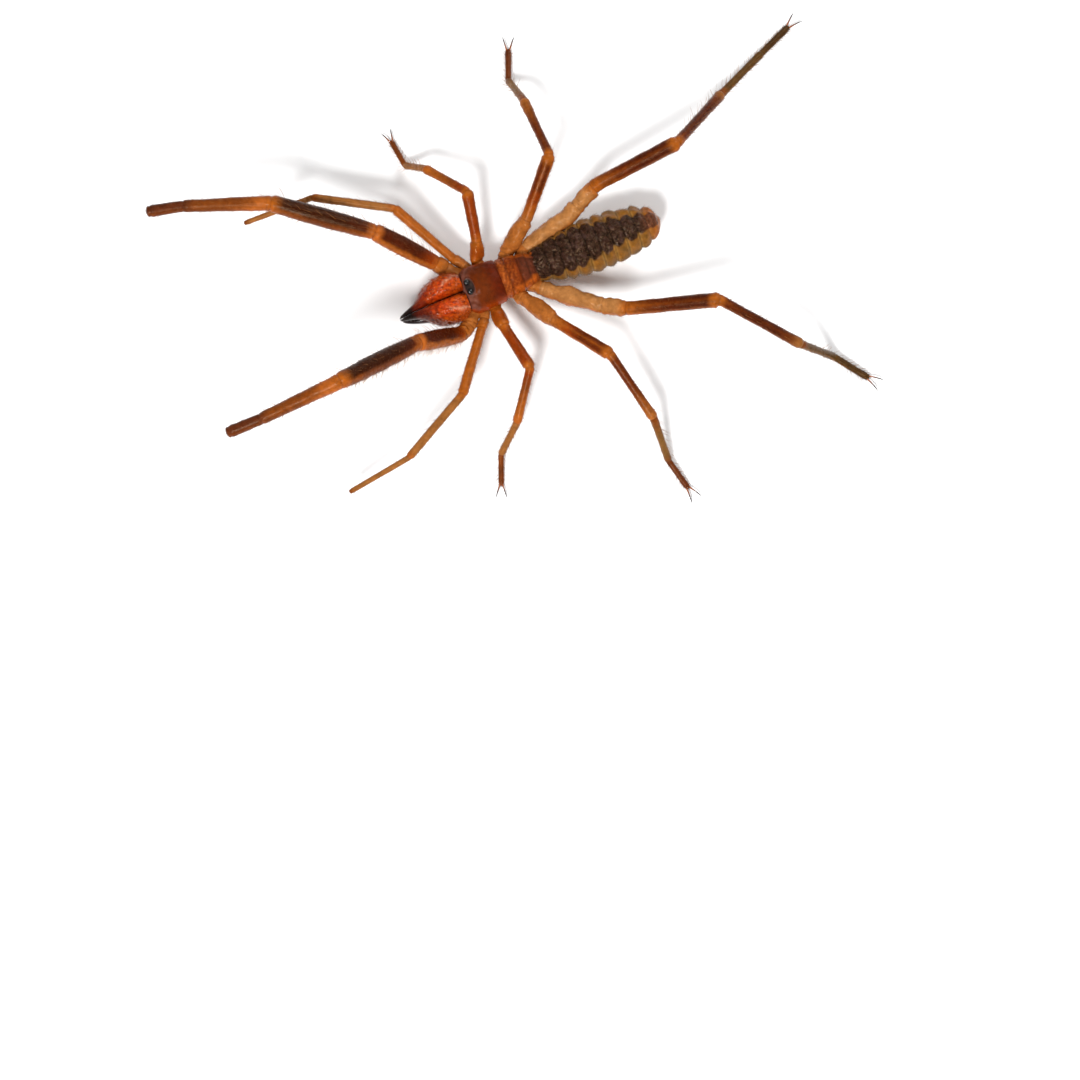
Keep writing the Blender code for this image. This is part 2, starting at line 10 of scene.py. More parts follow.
import bpy
import numpy as np
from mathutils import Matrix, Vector


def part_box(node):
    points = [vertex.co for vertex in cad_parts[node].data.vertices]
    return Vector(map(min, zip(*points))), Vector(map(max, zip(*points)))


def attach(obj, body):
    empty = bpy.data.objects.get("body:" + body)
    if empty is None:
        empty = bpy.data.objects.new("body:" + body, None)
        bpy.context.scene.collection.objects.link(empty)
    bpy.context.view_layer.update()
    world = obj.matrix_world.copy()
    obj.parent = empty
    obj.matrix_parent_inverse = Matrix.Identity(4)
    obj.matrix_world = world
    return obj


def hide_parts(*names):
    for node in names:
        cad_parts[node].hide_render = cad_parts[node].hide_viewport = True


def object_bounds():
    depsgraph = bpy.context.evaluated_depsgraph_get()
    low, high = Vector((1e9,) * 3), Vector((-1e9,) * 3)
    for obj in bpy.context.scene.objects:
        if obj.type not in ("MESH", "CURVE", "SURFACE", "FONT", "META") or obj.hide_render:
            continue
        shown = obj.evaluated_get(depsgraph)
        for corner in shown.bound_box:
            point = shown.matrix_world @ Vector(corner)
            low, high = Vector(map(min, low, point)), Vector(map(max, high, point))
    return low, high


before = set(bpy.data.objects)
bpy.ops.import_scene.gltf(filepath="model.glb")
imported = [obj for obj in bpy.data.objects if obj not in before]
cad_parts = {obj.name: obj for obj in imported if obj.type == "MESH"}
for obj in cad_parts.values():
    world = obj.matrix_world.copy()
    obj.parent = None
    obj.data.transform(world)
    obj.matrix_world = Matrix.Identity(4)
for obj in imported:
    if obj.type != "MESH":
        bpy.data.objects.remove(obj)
cad_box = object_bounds()

MM = 0.001
SEED = 11
draw = np.random.default_rng(SEED)

# The body's frame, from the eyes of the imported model.
EYE_CENTRE = (-6.2, 0.66, 13.3)
eye_low, eye_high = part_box("eye_left")[0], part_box("eye_right")[1]
ORIGIN = np.array([(eye_low[0] + eye_high[0]) / 2 - EYE_CENTRE[0] * MM, (eye_low[1] + eye_high[1]) / 2, 0.0])

# Camera, at the photo's viewing angle.
CAMERA_PLACE = (-30.4, -100.3, 508.4)
CAMERA_AZIMUTH = -21.5
CAMERA_ELEVATION = 84.0
CAMERA_LENS = 85.0
CAMERA_SENSOR = 36.0

# Limbs: the joints are those of the solids. A segment has its name, length, and radius at its near
# joint, middle and far joint; its angles are a heading from straight ahead and a rise, in degrees.
LIMBS = {
    "pedipalp": {
        "root": (-4.6, 2.2, 6.2), "coxa": (-8.8, 6.2, 7.2), "coxa_radius": 1.45,
        "segments": (("base", 2.4, 1.45, 1.6, 1.5), ("femur", 14.4, 1.5, 1.85, 1.65),
                     ("tibia", 21.0, 1.52, 1.88, 1.6), ("metatarsus", 17.0, 1.5, 1.32, 1.18),
                     ("tarsus", 6.6, 1.05, 1.15, 1.12)),
        "right": ((51, 24), (44, 27), (35, 11), (18, 6), (11, 5)),
        "left": ((33, 24), (3, 51), (13, 36), (2, -13), (0, -7)),
    },
    "leg_1": {
        "root": (-3.4, 2.0, 6.2), "coxa": (-5.2, 6.0, 6.8), "coxa_radius": 1.1,
        "segments": (("base", 2.2, 1.05, 1.1, 1.0), ("femur", 15.4, 0.88, 0.98, 1.02),
                     ("tibia", 16.4, 0.8, 0.82, 0.8), ("tarsus", 14.6, 0.58, 0.56, 0.52)),
        "right": ((52, 10), (60, 17), (28, 5), (4, -14)),
        "left": ((54, 20), (54, 19), (29, 3), (5, -26)),
    },
    "leg_2": {
        "root": (-1.4, 2.0, 6.2), "coxa": (-2.4, 5.4, 7.2), "coxa_radius": 1.3,
        "segments": (("base", 4.2, 1.2, 1.45, 1.25), ("femur", 10.2, 1.0, 1.12, 1.22),
                     ("tibia", 11.6, 0.88, 0.84, 0.96), ("metatarsus", 8.0, 0.74, 0.67, 0.74),
                     ("tarsus", 6.0, 0.56, 0.54, 0.58)),
        "right": ((113, 30), (100, 22), (56, -26), (49, None), (83, None)),
        "left": ((93, 26), (100, 10), (54, -23), (39, None), (69, None)),
        "claw": 2.8,
    },
    "leg_3": {
        "root": (2.2, 1.8, 6.2), "coxa": (3.8, 5.0, 7.2), "coxa_radius": 1.55,
        "segments": (("base", 8.0, 1.45, 1.7, 1.5), ("femur", 13.8, 1.15, 1.22, 1.33),
                     ("tibia", 15.3, 0.94, 0.88, 1.06), ("metatarsus", 11.1, 0.82, 0.72, 0.76),
                     ("tarsus", 6.6, 0.6, 0.6, 0.62)),
        "right": ((146, 26), (133, 26), (90, -26), (85, None), (111, None)),
        "left": ((118, 20), (125, 12), (104, -14), (92, None), (105, None)),
        "claw": 3.2,
    },
    "leg_4": {
        "root": (5.2, 1.8, 6.3), "coxa": (7.9, 4.4, 7.0), "coxa_radius": 1.7,
        "segments": (("base", 13.2, 1.5, 1.75, 1.55), ("basifemur", 5.0, 1.5, 1.62, 1.5),
                     ("femur", 19.0, 1.36, 1.42, 1.5), ("tibia", 19.0, 1.05, 0.98, 1.12),
                     ("metatarsus", 13.5, 0.84, 0.76, 0.82), ("tarsus", 8.0, 0.66, 0.7, 0.68)),
        "right": ((166, 17), (148, 17), (176, 12), (148, -34), (153, None), (155, None)),
        "left": ((139, 15), (149, 17), (160, 20), (133, -17), (155, None), (128, None)),
        "claw": 3.4,
    },
}
ANKLE_HEIGHT = 1.7
TOE_SINK = 0.1
SIDES_OF = {"right": 1, "left": -1}

# Rings along a limb: close together by the joints, wider between, and a few over its blunt tip.
JOINT_ZONE = 1.5
ZONE_SHARE = 0.4
JOINT_STEP = 0.12
SHAFT_STEP = 0.42
LIMB_SIDES = 28
TIP_SHARES = (0.25, 0.5, 0.7, 0.85, 0.95, 0.99)
TIP_REACH = 0.6
FAR_OFF = 9.0

# A limb's form: how a segment swells in its middle, the groove at each joint and the raised collar
# beside it, as shares of the radius, then lumps, wrinkles and dullness of soft and hard segments.
SWELL_POWER = 0.85
GROOVE_DEPTH = 0.1
GROOVE_WIDTH = 0.2
SOFT_GROOVE = 0.6
COLLAR_HEIGHT = 0.035
COLLAR_SPOT = (0.7, 0.45)
JOINT_BLEND = 0.6
FLESHY = (0.16, 0.035)
WRINKLED = (0.03, 0.012)
LIMB_DULL = (0.02, 0.3)

# Head and thorax: station along X, half width, top, height of the widest part, underside.
TRUNK_STATIONS = (
    (-7.05, 3.4, 11.3, 8.3, 5.0), (-6.75, 4.1, 12.2, 8.2, 4.5), (-5.6, 4.75, 12.75, 8.1, 4.2),
    (-4.0, 4.75, 13.1, 8.0, 4.1), (-2.2, 4.6, 13.05, 8.0, 4.1), (-0.5, 4.45, 12.75, 8.0, 4.2),
    (0.45, 4.25, 12.4, 8.0, 4.3), (0.7, 3.85, 11.8, 8.0, 4.4), (0.95, 4.1, 12.15, 8.0, 4.3),
    (2.0, 4.05, 12.15, 8.0, 4.2), (2.25, 3.75, 11.75, 8.0, 4.2), (2.6, 4.0, 12.05, 8.0, 4.2),
    (4.5, 3.85, 11.9, 8.0, 4.3), (4.8, 3.55, 11.5, 8.0, 4.3), (5.1, 3.65, 11.75, 8.0, 4.4),
    (6.2, 3.45, 11.6, 8.1, 4.5), (6.5, 3.3, 11.35, 8.1, 4.6), (6.8, 3.3, 11.45, 8.2, 4.7),
    (7.6, 2.95, 11.0, 8.3, 5.2), (8.1, 2.95, 11.0, 8.4, 5.3),
)
NOSE_RINGS = (-0.34, -0.2, -0.08)
NOSE_LENGTH = 0.36

# Abdomen: its half width at shares of its length, the height of its axis at both ends, and
# the heights of its warty band's relief.
ABDOMEN_START = 7.85
ABDOMEN_LENGTH = 27.0
ABDOMEN_WIDTHS = ((0.0, 3.1), (0.1, 4.0), (0.25, 5.0), (0.42, 5.6), (0.66, 5.3), (0.84, 4.4),
                  (0.95, 3.0), (1.0, 1.4))
ABDOMEN_SEGMENTS = 10
ABDOMEN_AXIS = (8.5, 7.4)
ABDOMEN_HEIGHT_SHARE = 0.84
FURROW_DEPTH = 0.6
FURROW_POWER = 0.6
FURROW_WANDER = 0.1
FURROW_WAVE = 23.0
TAIL_START = 0.955
TAIL_NARROWING = 0.96
TRUNK_STEP = 0.14
TRUNK_SIDES = 120
PILLOW_HEIGHT = 0.28
WART_HEIGHT = 0.09

# The eye mound, the right eye by its centre and radius, and how far off its poles a ball starts.
MOUND_CENTRE = (-5.85, 0.0, 12.4)
MOUND_RADII = (1.2, 2.0, 1.02)
SHOWN_EYE = ((-6.08, 0.98, 13.18), 0.66)
BALL_END = 0.06

# Chelicera: station along X, half width, top, height of the widest part, underside.
JAW_INNER = 0.07
JAW_STATIONS = (
    (-7.0, 1.9, 12.0, 8.4, 5.0), (-8.3, 2.3, 12.9, 8.5, 4.4), (-10.2, 2.45, 13.2, 8.6, 4.1),
    (-12.2, 2.35, 13.0, 8.6, 4.5), (-14.0, 2.0, 12.4, 8.8, 5.4), (-15.4, 1.55, 11.6, 9.1, 6.7),
    (-16.3, 1.08, 10.9, 9.3, 7.7), (-17.2, 0.8, 10.3, 9.1, 7.95), (-18.6, 0.55, 9.5, 8.7, 7.9),
    (-19.9, 0.36, 8.55, 8.0, 7.45), (-20.6, 0.25, 7.75, 7.4, 7.05), (-20.95, 0.08, 7.2, 7.1, 7.0),
)
JAW_SIDES = 96
JAW_FULLNESS = 3.6
STREAK_STRETCH = (0.4, 1.0, 1.0)
JAW_STEP = 0.09
MOVING_FINGER = (((-12.4, 1.75, 5.7), 1.0), ((-14.0, 1.55, 5.3), 1.1), ((-16.2, 1.2, 5.0), 0.88),
                 ((-18.2, 0.86, 5.1), 0.62), ((-19.6, 0.6, 5.6), 0.38), ((-20.4, 0.48, 6.3), 0.1))
FIXED_EDGE = ((-15.6, 1.5, 7.0), (-17.2, 0.88, 7.95), (-18.6, 0.62, 7.9), (-19.9, 0.43, 7.45))
TOOTH_LENGTH = 0.75
SMALL_TOOTH = 0.62
TOOTH_RADIUS = 0.2
TOOTH_LEAN = 0.22
TOOTH_TURN = 0.1
TOOTH_ROOT = 0.25
TOOTH_MIDDLE = 0.65
TOOTH_HOOK = (-0.05, 0, 0)
THINNEST = 0.02
POINT_RADIUS = 0.03

# Colours, in sRGB as the eye reads them under the studio light, turned to linear where they are used.
PALE_FLESH = (192, 128, 70)
FLESH = (184, 106, 44)
ORANGE = (180, 94, 26)
AMBER = (188, 98, 34)
RUST = (150, 58, 8)
SIENNA = (136, 66, 18)
TAN = (166, 104, 50)
PALE_TAN = (172, 116, 62)
OLIVE_TAN = (138, 94, 46)
OLIVE = (98, 66, 28)
DARK_OLIVE = (74, 48, 20)
BROWN = (116, 54, 18)
RED_BROWN = (98, 44, 20)
CHESTNUT = (104, 38, 6)
MAROON = (80, 26, 6)
DEEP_MAROON = (58, 20, 4)

# Share of a shown colour that the tint holds; the light brings back the rest.
TINT_SHARE = 0.66

# For each limb segment, the colours along its back, each after its share of the length, then those
# along its sides. A segment that isn't named is PLAIN_SEGMENT.
PLAIN_SEGMENT = ((0, FLESH), (0, FLESH))
LIMB_COLOURS = {
    "pedipalp": {
        "base": ((0, FLESH, 1, ORANGE), (0, FLESH)),
        "femur": ((0, AMBER, 0.1, RUST, 0.3, MAROON, 0.88, MAROON, 0.95, AMBER),
                  (0, AMBER, 0.4, ORANGE, 0.85, ORANGE, 0.95, AMBER)),
        "tibia": ((0.02, AMBER, 0.09, MAROON, 0.3, DEEP_MAROON, 0.88, DEEP_MAROON, 0.98, ORANGE),
                  (0.02, AMBER, 0.12, SIENNA, 0.5, BROWN, 0.88, SIENNA, 0.98, AMBER)),
        "metatarsus": ((0, ORANGE, 0.1, AMBER, 0.35, SIENNA, 0.85, SIENNA, 1, RED_BROWN),
                       (0, AMBER, 0.15, AMBER, 0.5, SIENNA, 1, BROWN)),
        "tarsus": ((0, RED_BROWN), (0, BROWN)),
    },
    "leg_1": {
        "base": ((0, FLESH, 1, ORANGE), (0, FLESH)),
        "femur": ((0, ORANGE), (0, FLESH)),
        "tibia": ((0, ORANGE, 0.12, TAN, 0.9, TAN, 1, AMBER), (0, PALE_TAN)),
        "tarsus": ((0, TAN, 0.9, TAN, 1, SIENNA), (0, PALE_TAN, 1, TAN)),
    },
    "leg_2": {
        "coxa": ((0, ORANGE), (0, FLESH)),
        "base": ((0, ORANGE, 0.5, RUST, 1, ORANGE), (0, ORANGE)),
        "femur": ((0, ORANGE, 0.2, RUST, 0.85, RUST, 0.95, ORANGE), (0, ORANGE, 0.5, SIENNA, 1, ORANGE)),
        "tibia": ((0, ORANGE, 0.1, RUST, 0.35, SIENNA, 0.8, ORANGE, 1, AMBER), (0, ORANGE, 1, FLESH)),
        "metatarsus": ((0, TAN), (0, PALE_TAN)),
        "tarsus": ((0, SIENNA, 0.5, BROWN), (0, SIENNA)),
    },
    "leg_3": {
        "femur": ((0, FLESH, 0.12, ORANGE, 0.3, RUST, 0.5, CHESTNUT, 0.84, CHESTNUT, 0.94, ORANGE),
                  (0, FLESH, 0.5, ORANGE)),
        "tibia": ((0.02, ORANGE, 0.09, CHESTNUT, 0.5, CHESTNUT, 0.72, SIENNA, 1, FLESH),
                  (0.02, ORANGE, 0.1, SIENNA, 0.6, SIENNA, 1, FLESH)),
        "metatarsus": ((0, SIENNA, 0.4, OLIVE_TAN, 0.8, OLIVE_TAN, 1, BROWN), (0, OLIVE_TAN)),
        "tarsus": ((0, BROWN, 1, RED_BROWN), (0, BROWN)),
    },
    "leg_4": {
        "base": ((0, PALE_FLESH), (0, FLESH)),
        "basifemur": ((0, PALE_FLESH, 0.6, PALE_FLESH, 1, ORANGE), (0, FLESH)),
        "femur": ((0, ORANGE, 0.14, SIENNA, 0.32, CHESTNUT, 0.6, MAROON, 0.88, MAROON, 0.95, ORANGE),
                  (0, ORANGE, 0.5, SIENNA, 0.88, SIENNA, 0.95, ORANGE)),
        "tibia": ((0.02, ORANGE, 0.08, CHESTNUT, 0.3, MAROON, 0.7, MAROON, 0.86, BROWN, 0.97, TAN),
                  (0.02, ORANGE, 0.15, BROWN, 0.85, BROWN, 1, TAN)),
        "metatarsus": ((0, SIENNA, 0.15, OLIVE), (0, OLIVE_TAN, 0.4, OLIVE)),
        "tarsus": ((0, OLIVE, 0.2, DARK_OLIVE), (0, OLIVE, 1, DARK_OLIVE)),
    },
}
# How far off the middle of the back a limb's colour turns to that of its sides, in radians. The
# pedipalps' dark stripe is turned towards the animal's right.
LEG_STRIPE = (0.85, 1.25)
PALP_STRIPE = (0.75, 1.15)
PALP_STRIPE_TURN = 0.32
# Segments whose dark back is split in two by a painted highlight, a lighter line along its top.
HIGHLIGHTED_ON_TOP = {("leg_3", "femur"), ("leg_3", "tibia"), ("leg_4", "femur"), ("leg_4", "tibia")}
SHIELD_BROWN = (108, 40, 4)
SHIELD_SIDE = (170, 64, 8)
SHIELD_FRONT = (132, 80, 66)
SHIELD_REAR = (100, 26, 2)
SHIELD_RIM = (184, 138, 128)
PALE_BAND = (184, 90, 30)
THORAX_BROWN = (124, 46, 6)
THORAX_PLUM = (100, 44, 26)
THORAX_SIDE = (190, 90, 24)
UNDERSIDE = (190, 124, 66)
JOINT_DARK = (84, 32, 10)
BAND_PLUM = (60, 36, 26)
# Dark of the band's furrows and the thorax's seams, also painted shade in the band's creases.
BAND_DARK = (30, 17, 11)
# Pale patches on the band, and the painted highlight on the tops of its pillows.
BAND_PALE_AND_HIGHLIGHT = (104, 78, 72)
FLANK_AMBER = (150, 96, 34)
FLANK_OLIVE = (112, 80, 34)
FLANK_RIM = (172, 128, 64)
REAR_RUST = (112, 62, 40)
REAR_ORANGE = (176, 98, 32)
JAW_RED = (206, 66, 10)
# Pale pink of the painted highlight along each jaw's crest.
JAW_CREST_HIGHLIGHT = (238, 160, 122)
JAW_SIDE = (204, 86, 16)
# Dark red of the jaws' front and streaks, also used as painted shade in their creases and in the hollow
# between them.
JAW_DARK = (84, 11, 3)
FINGER_BLACK = (24, 6, 6)
FINGER_RED = (86, 20, 8)
MOUND_BLACK = (44, 32, 32)
EYE_BLACK = (10, 8, 8)
CLAW_BROWN = (48, 18, 9)
CLAW_ROOT = (176, 92, 36)
RACKET_PALE = (210, 176, 126)

# The trunk's markings: along X in mm, along the abdomen as a share of its length, and round the
# back in radians off its middle.
BACK_EDGE = (0.9, 1.3)
THORAX_EDGE = ((2.0, 4.5, 8.0), (0.8, 0.66, 0.5))
THORAX_SEAMS = ((2.25, 0.16), (4.8, 0.16), (6.5, 0.2), (7.7, 0.3))
BAND_HALF = ((0, 0.2, 0.45, 0.7, 1.0), (1.3, 1.0, 0.76, 0.58, 0.5))
BAND_FRONT = -0.02
BAND_REAR = (0.965, 0.99)

# The painted highlight along each jaw's crest, a pale streak: stations along X, and its angle off the top
# there.
CREST_HIGHLIGHT_COURSE = ((-11.8, -7.2), (-0.3, 0.78))

# Claws: spread in degrees, then share of the length and rise for each point, and radius shares.
CLAWED = ("leg_2", "leg_3", "leg_4")
CLAW_RADIUS = 0.2
CLAW_SPREAD = 17
CLAW_TIP_HEIGHT = 0.2
CLAW_INSET = 0.4
CLAW_APART = 0.14
CLAW_REACH = 0.45
CLAW_ARCH = ((0.0, 0.05), (0.3, 0.42), (0.62, 0.5), (0.88, 0.34))
CLAW_TAPER = (1.0, 0.85, 0.7, 0.6)

# Racket organs: where they stand along the segment, how far their stalks reach down, and radii.
RACKET_COUNT = 5
RACKET_FIRST = 0.12
RACKET_RUN = 0.7
RACKET_DROPS = (1.2, 1.9, 2.4)
RACKET_STALK = (0.24, 0.16, 0.2)
RACKET_FAN = (0.72, 0.16, 0.48)

# Kinds of hair: number per mm2, length and thickness in mm, lean off the surface's normal in
# degrees, unevenness, colour, share kept of the colour below, slot, rings along it and sides. The
# number and length of the spines come from SPINE_ROWS.
Hair = namedtuple("Hair", "density length thickness lean spread colour keep slot levels sides",
                  defaults=(3, 3))
LIMB_HAIR = Hair(10.0, 0.5, 0.012, 58, 0.16, (150, 92, 46), 0.7, "tibia_cuticle", 2)
LIMB_COAT = {
    "hair_pedipalps": LIMB_HAIR,
    "hair_legs_right": LIMB_HAIR,
    "hair_legs_left": LIMB_HAIR,
    "bristles_pedipalps": Hair(1.1, 1.3, 0.016, 40, 0.18, (176, 120, 72), 0.3, "tibia_cuticle"),
    "fringe_pedipalps": Hair(5.5, 1.9, 0.014, 28, 0.2, (216, 168, 116), 0.12, "femur_cuticle"),
    "bristles_legs": Hair(1.1, 0.9, 0.018, 40, 0.2, (140, 88, 46), 0.4, "tibia_cuticle"),
    "spines": Hair(None, None, 0.038, 36, 0.08, (168, 108, 58), 0.2, "metatarsus_cuticle", 4, 5),
}
TRUNK_COAT = {
    "hair_head": Hair(11.0, 0.32, 0.014, 50, 0.2, (120, 66, 30), 0.5, "shield_cuticle", 2),
    "hair_abdomen": Hair(6.0, 0.6, 0.014, 58, 0.2, (150, 116, 76), 0.35, "abdomen_skin", 2),
}
JAW_COAT = {
    "bristles_jaws": Hair(5.0, 0.75, 0.018, 58, 0.22, (128, 26, 8), 0.35, "jaw_cuticle"),
    "hair_jaws": Hair(4.0, 0.6, 0.018, 58, 0.22, (222, 120, 64), 0.35, "jaw_cuticle"),
}

# A hair's bend and taper, and what varies from hair to hair.
HAIR_BEND = 0.35
HAIR_TAPER = 0.75
BEND_VARIES = 0.12
LENGTH_VARIES = (0.65, 1.25)
THICKNESS_VARIES = (0.8, 1.2)
SHADE_VARIES = (0.75, 1.25)
TUFT_PATCH = 0.003
ROOT_SINK = 0.04
FLOOR_CLEAR = 0.04
HIGHEST_HAIR = cad_box[1][2] / MM + 0.7
BARE_FINGER = -16.8
FRINGE_TURN = 0.5
TINY = 1e-9

# Spines: where a row starts and how far it runs, as shares of a segment, and how much the places,
# angles and lengths vary. Then, for each segment, the rows by their angle off the back in degrees,
# how many spines to a row, and their length.
SPINE_FIRST = 0.05
SPINE_RUN = 0.9
SPINE_SHIFT = 0.3
SPINE_TURN = 12
SPINE_VARIES = (0.7, 1.15)
SPINE_ROWS = {
    "pedipalp": {"femur": ((-105, -80, 80, 105), 6, 2.2), "tibia": ((-115, -85, 85, 115, 10), 9, 2.7),
                 "metatarsus": ((-105, -80, 80, 105), 8, 2.0), "tarsus": ((-90, 90), 3, 0.7)},
    "leg_1": {"tibia": ((-80, 80), 6, 0.9)},
    "leg_2": {"femur": ((0,), 5, 0.8), "tibia": ((-70, 70), 6, 1.1),
              "metatarsus": ((-80, -45, 45, 80), 5, 1.6), "tarsus": ((-85, -45, 45, 85), 4, 1.1)},
    "leg_3": {"femur": ((-30, 30), 6, 0.9), "tibia": ((-70, 70), 7, 1.3),
              "metatarsus": ((-80, -45, 45, 80), 6, 1.8), "tarsus": ((-85, -45, 45, 85), 5, 1.2)},
    "leg_4": {"femur": ((-30, 30), 8, 1.0), "tibia": ((-75, -40, 40, 75), 8, 1.8),
              "metatarsus": ((-80, -45, 45, 80), 7, 1.8), "tarsus": ((-85, -45, 45, 85), 6, 1.3)},
}

# The stage: lights by name, place in metres, energy and size, and the floor.
LIGHTS = (("key", (-0.25, -0.3, 0.55), 5.1, 0.14), ("fill", (0.4, 0.25, 0.45), 2.3, 0.35))
WORLD_STRENGTH = 0.42
FLOOR_REACH = 2
FLOOR_COLOUR = (0.95, 0.95, 0.95, 1)
FLOOR_ROUGHNESS = 0.7


def linear(colour):
    """The tint that shows as an sRGB colour of 0 to 255 under the studio light."""
    share = np.asarray(colour, float) / 255
    return np.where(share <= 0.04045, share / 12.92, ((share + 0.055) / 1.055) ** 2.4) * TINT_SHARE


def as_tint(colour):
    """The tint of a named colour; an array holds tints already."""
    return linear(colour) if isinstance(colour, tuple) else colour


def paint(colour, *layers):
    """A colour with layers over it, each a colour and the share that it takes at each point."""
    colours = as_tint(colour)
    for over, share in layers:
        share = np.clip(share, 0, 1)[..., None]
        colours = colours * (1 - share) + as_tint(over) * share
    return colours


def step(low, high, value):
    """0 at low, 1 at high, smooth between; low may be the greater."""
    share = np.clip((value - low) / (high - low), 0, 1)
    return share * share * (3 - 2 * share)


def bump(value, centre, width):
    """A soft bump of height 1 at centre."""
    return np.exp(-((value - centre) / width) ** 2)


def unit(vectors, least=0.0):
    """Vectors brought to length 1; least keeps one of no length from dividing by nothing."""
    return vectors / (np.linalg.norm(vectors, axis=-1, keepdims=True) + least)


def stacked(x, y, z):
    return np.stack(np.broadcast_arrays(x, y, z), axis=-1)


def angles_round(sides):
    return np.linspace(0, math.tau, sides, endpoint=False)


def off_middle(angle):
    """How far an angle lies off the middle of the back, to either side."""
    return np.abs((angle + math.pi) % math.tau - math.pi)


UPWARD = np.array([0.0, 0.0, 1.0])
BACKWARD = np.array([1.0, 0.0, 0.0])
LUMP_WAVES = 14
LUMP_CALM = 1.6
lump_directions = unit(draw.normal(size=(LUMP_WAVES, 3)))
lump_phases = draw.uniform(0, math.tau, LUMP_WAVES)
lump_stretch = draw.uniform(0.7, 1.4, LUMP_WAVES)


def lumps(points, wavelength):
    """Soft irregular lumps over points, about -1 to 1, with the given wavelength in mm."""
    total = np.zeros(points.shape[:-1])
    for direction, phase, stretch in zip(lump_directions, lump_phases, lump_stretch):
        total += np.sin(points @ direction * math.tau * stretch / wavelength + phase)
    return total / math.sqrt(LUMP_WAVES) / LUMP_CALM


def sided(point, side):
    return np.array([point[0], point[1] * side, point[2]])


MID_DULL = 0.5


class Grid:
    """A closed form of rings: places, a colour, a dullness and a place on the unwrap for each point."""

    def __init__(self, places, colours, dull=MID_DULL, strip=(0, 0, 1, 1)):
        self.places = places
        self.colours = np.broadcast_to(colours, places.shape)
        self.dull = np.broadcast_to(dull, places.shape[:2])
        rings, sides = places.shape[:2]
        left, bottom, width, height = strip
        along = np.linspace(0, 1, rings)[:, None] * width + left
        around = np.linspace(0, 1, sides, endpoint=False)[None, :] * height + bottom
        self.unwrap = np.stack(np.broadcast_arrays(along, around), axis=-1)


def unwrap_strip(number):
    """The strip of the unwrap that a limb takes, in ten rows."""
    return 0.02, 0.02 + 0.058 * number, 0.96, 0.052


TRUNK_STRIP = (0.02, 0.62, 0.6, 0.36)
JAW_STRIPS = {"right": (0.66, 0.62, 0.3, 0.17), "left": (0.66, 0.81, 0.3, 0.17)}


def grid_faces(rings, sides, first):
    """Quads round the rings and one face over each end."""
    ring = np.arange(rings - 1)[:, None] * sides
    spot = np.arange(sides)[None, :]
    after = (spot + 1) % sides
    quads = np.stack([ring + spot, ring + after, ring + sides + after, ring + sides + spot], axis=-1)
    faces = (quads.reshape(-1, 4) + first).tolist()
    faces.append([first + number for number in reversed(range(sides))])
    faces.append([first + (rings - 1) * sides + number for number in range(sides)])
    return faces


def add_object(name, data):
    made = bpy.data.objects.new(name, data)
    bpy.context.scene.collection.objects.link(made)
    return made


def make_piece(name, places, faces, colours, material, unwrap=None):
    """A mesh piece in metres at the frame's place, riding on the animal's one body."""
    mesh = bpy.data.meshes.new(name)
    mesh.from_pydata((places * MM + ORIGIN).tolist(), [], faces)
    tint = mesh.color_attributes.new("tint", "FLOAT_COLOR", "POINT")
    tint.data.foreach_set("color", colours.ravel())
    if unwrap is not None:
        layer = mesh.uv_layers.new(name="OFBake")
        corners = np.empty(len(mesh.loops), dtype=np.int32)
        mesh.loops.foreach_get("vertex_index", corners)
        layer.data.foreach_set("uv", unwrap[corners].ravel())
    mesh.materials.append(material)
    mesh.shade_smooth()
    mesh.update()
    piece = add_object(name, mesh)
    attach(piece, "root")
    return piece


def grid_piece(name, grids, material, slot, *nodes):
    """Several grids as one piece in place of the given nodes; a tint's fourth value is its dullness."""
    places, faces, colours = [], [], []
    first = 0
    for grid in grids:
        rings, sides = grid.places.shape[:2]
        places.append(grid.places.reshape(-1, 3))
        colours.append(np.column_stack([grid.colours.reshape(-1, 3), grid.dull.ravel()]))
        faces += grid_faces(rings, sides, first)
        first += rings * sides
    piece = make_piece(name, np.concatenate(places), faces, np.concatenate(colours), material)
    if nodes:
        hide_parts(*nodes)


# Materials: noises by their settings, and the span of a noise that is used.

MOTTLE = {"Scale": 900, "Detail": 6, "Roughness": 0.65}
PLAIN_MOTTLE = {"Scale": 700}
POLISH = {"Scale": 1500, "Detail": 4}
GRAIN = {"Detail": 5, "Roughness": 0.6}
NOISE_SPAN = {"From Min": 0.3, "From Max": 0.7}
MOTTLE_LIFT = 0.8
GLOSS_SPAN = (0.75, 1.3)
DULL_SPAN = 0.5
CELLS_TO_GRAIN = 1.6
CELL_DEPTH = 0.4
RELIEF_STRENGTH = 0.8
CUTICLE_SHINE = 0.13
COAT_ROUGHNESS = 0.14
WHITE_SHINE = (1.0, 1.0, 1.0, 1.0)
AMBER_SHINE = (1.0, 0.66, 0.38, 1.0)


def fill(node, inputs):
    """Gives a node's inputs their values, or links them to the sockets given."""
    for key, value in inputs.items():
        if isinstance(value, bpy.types.NodeSocket):
            node.id_data.links.new(value, node.inputs[key])
        else:
            node.inputs[key].default_value = value


def add_node(tree, kind, inputs, output, operation=None):
    """A new shader node with its inputs filled; returns one of its output sockets."""
    node = tree.nodes.new(f"ShaderNode{kind}")
    if operation:
        node.operation = operation
    fill(node, inputs)
    return node.outputs[output]


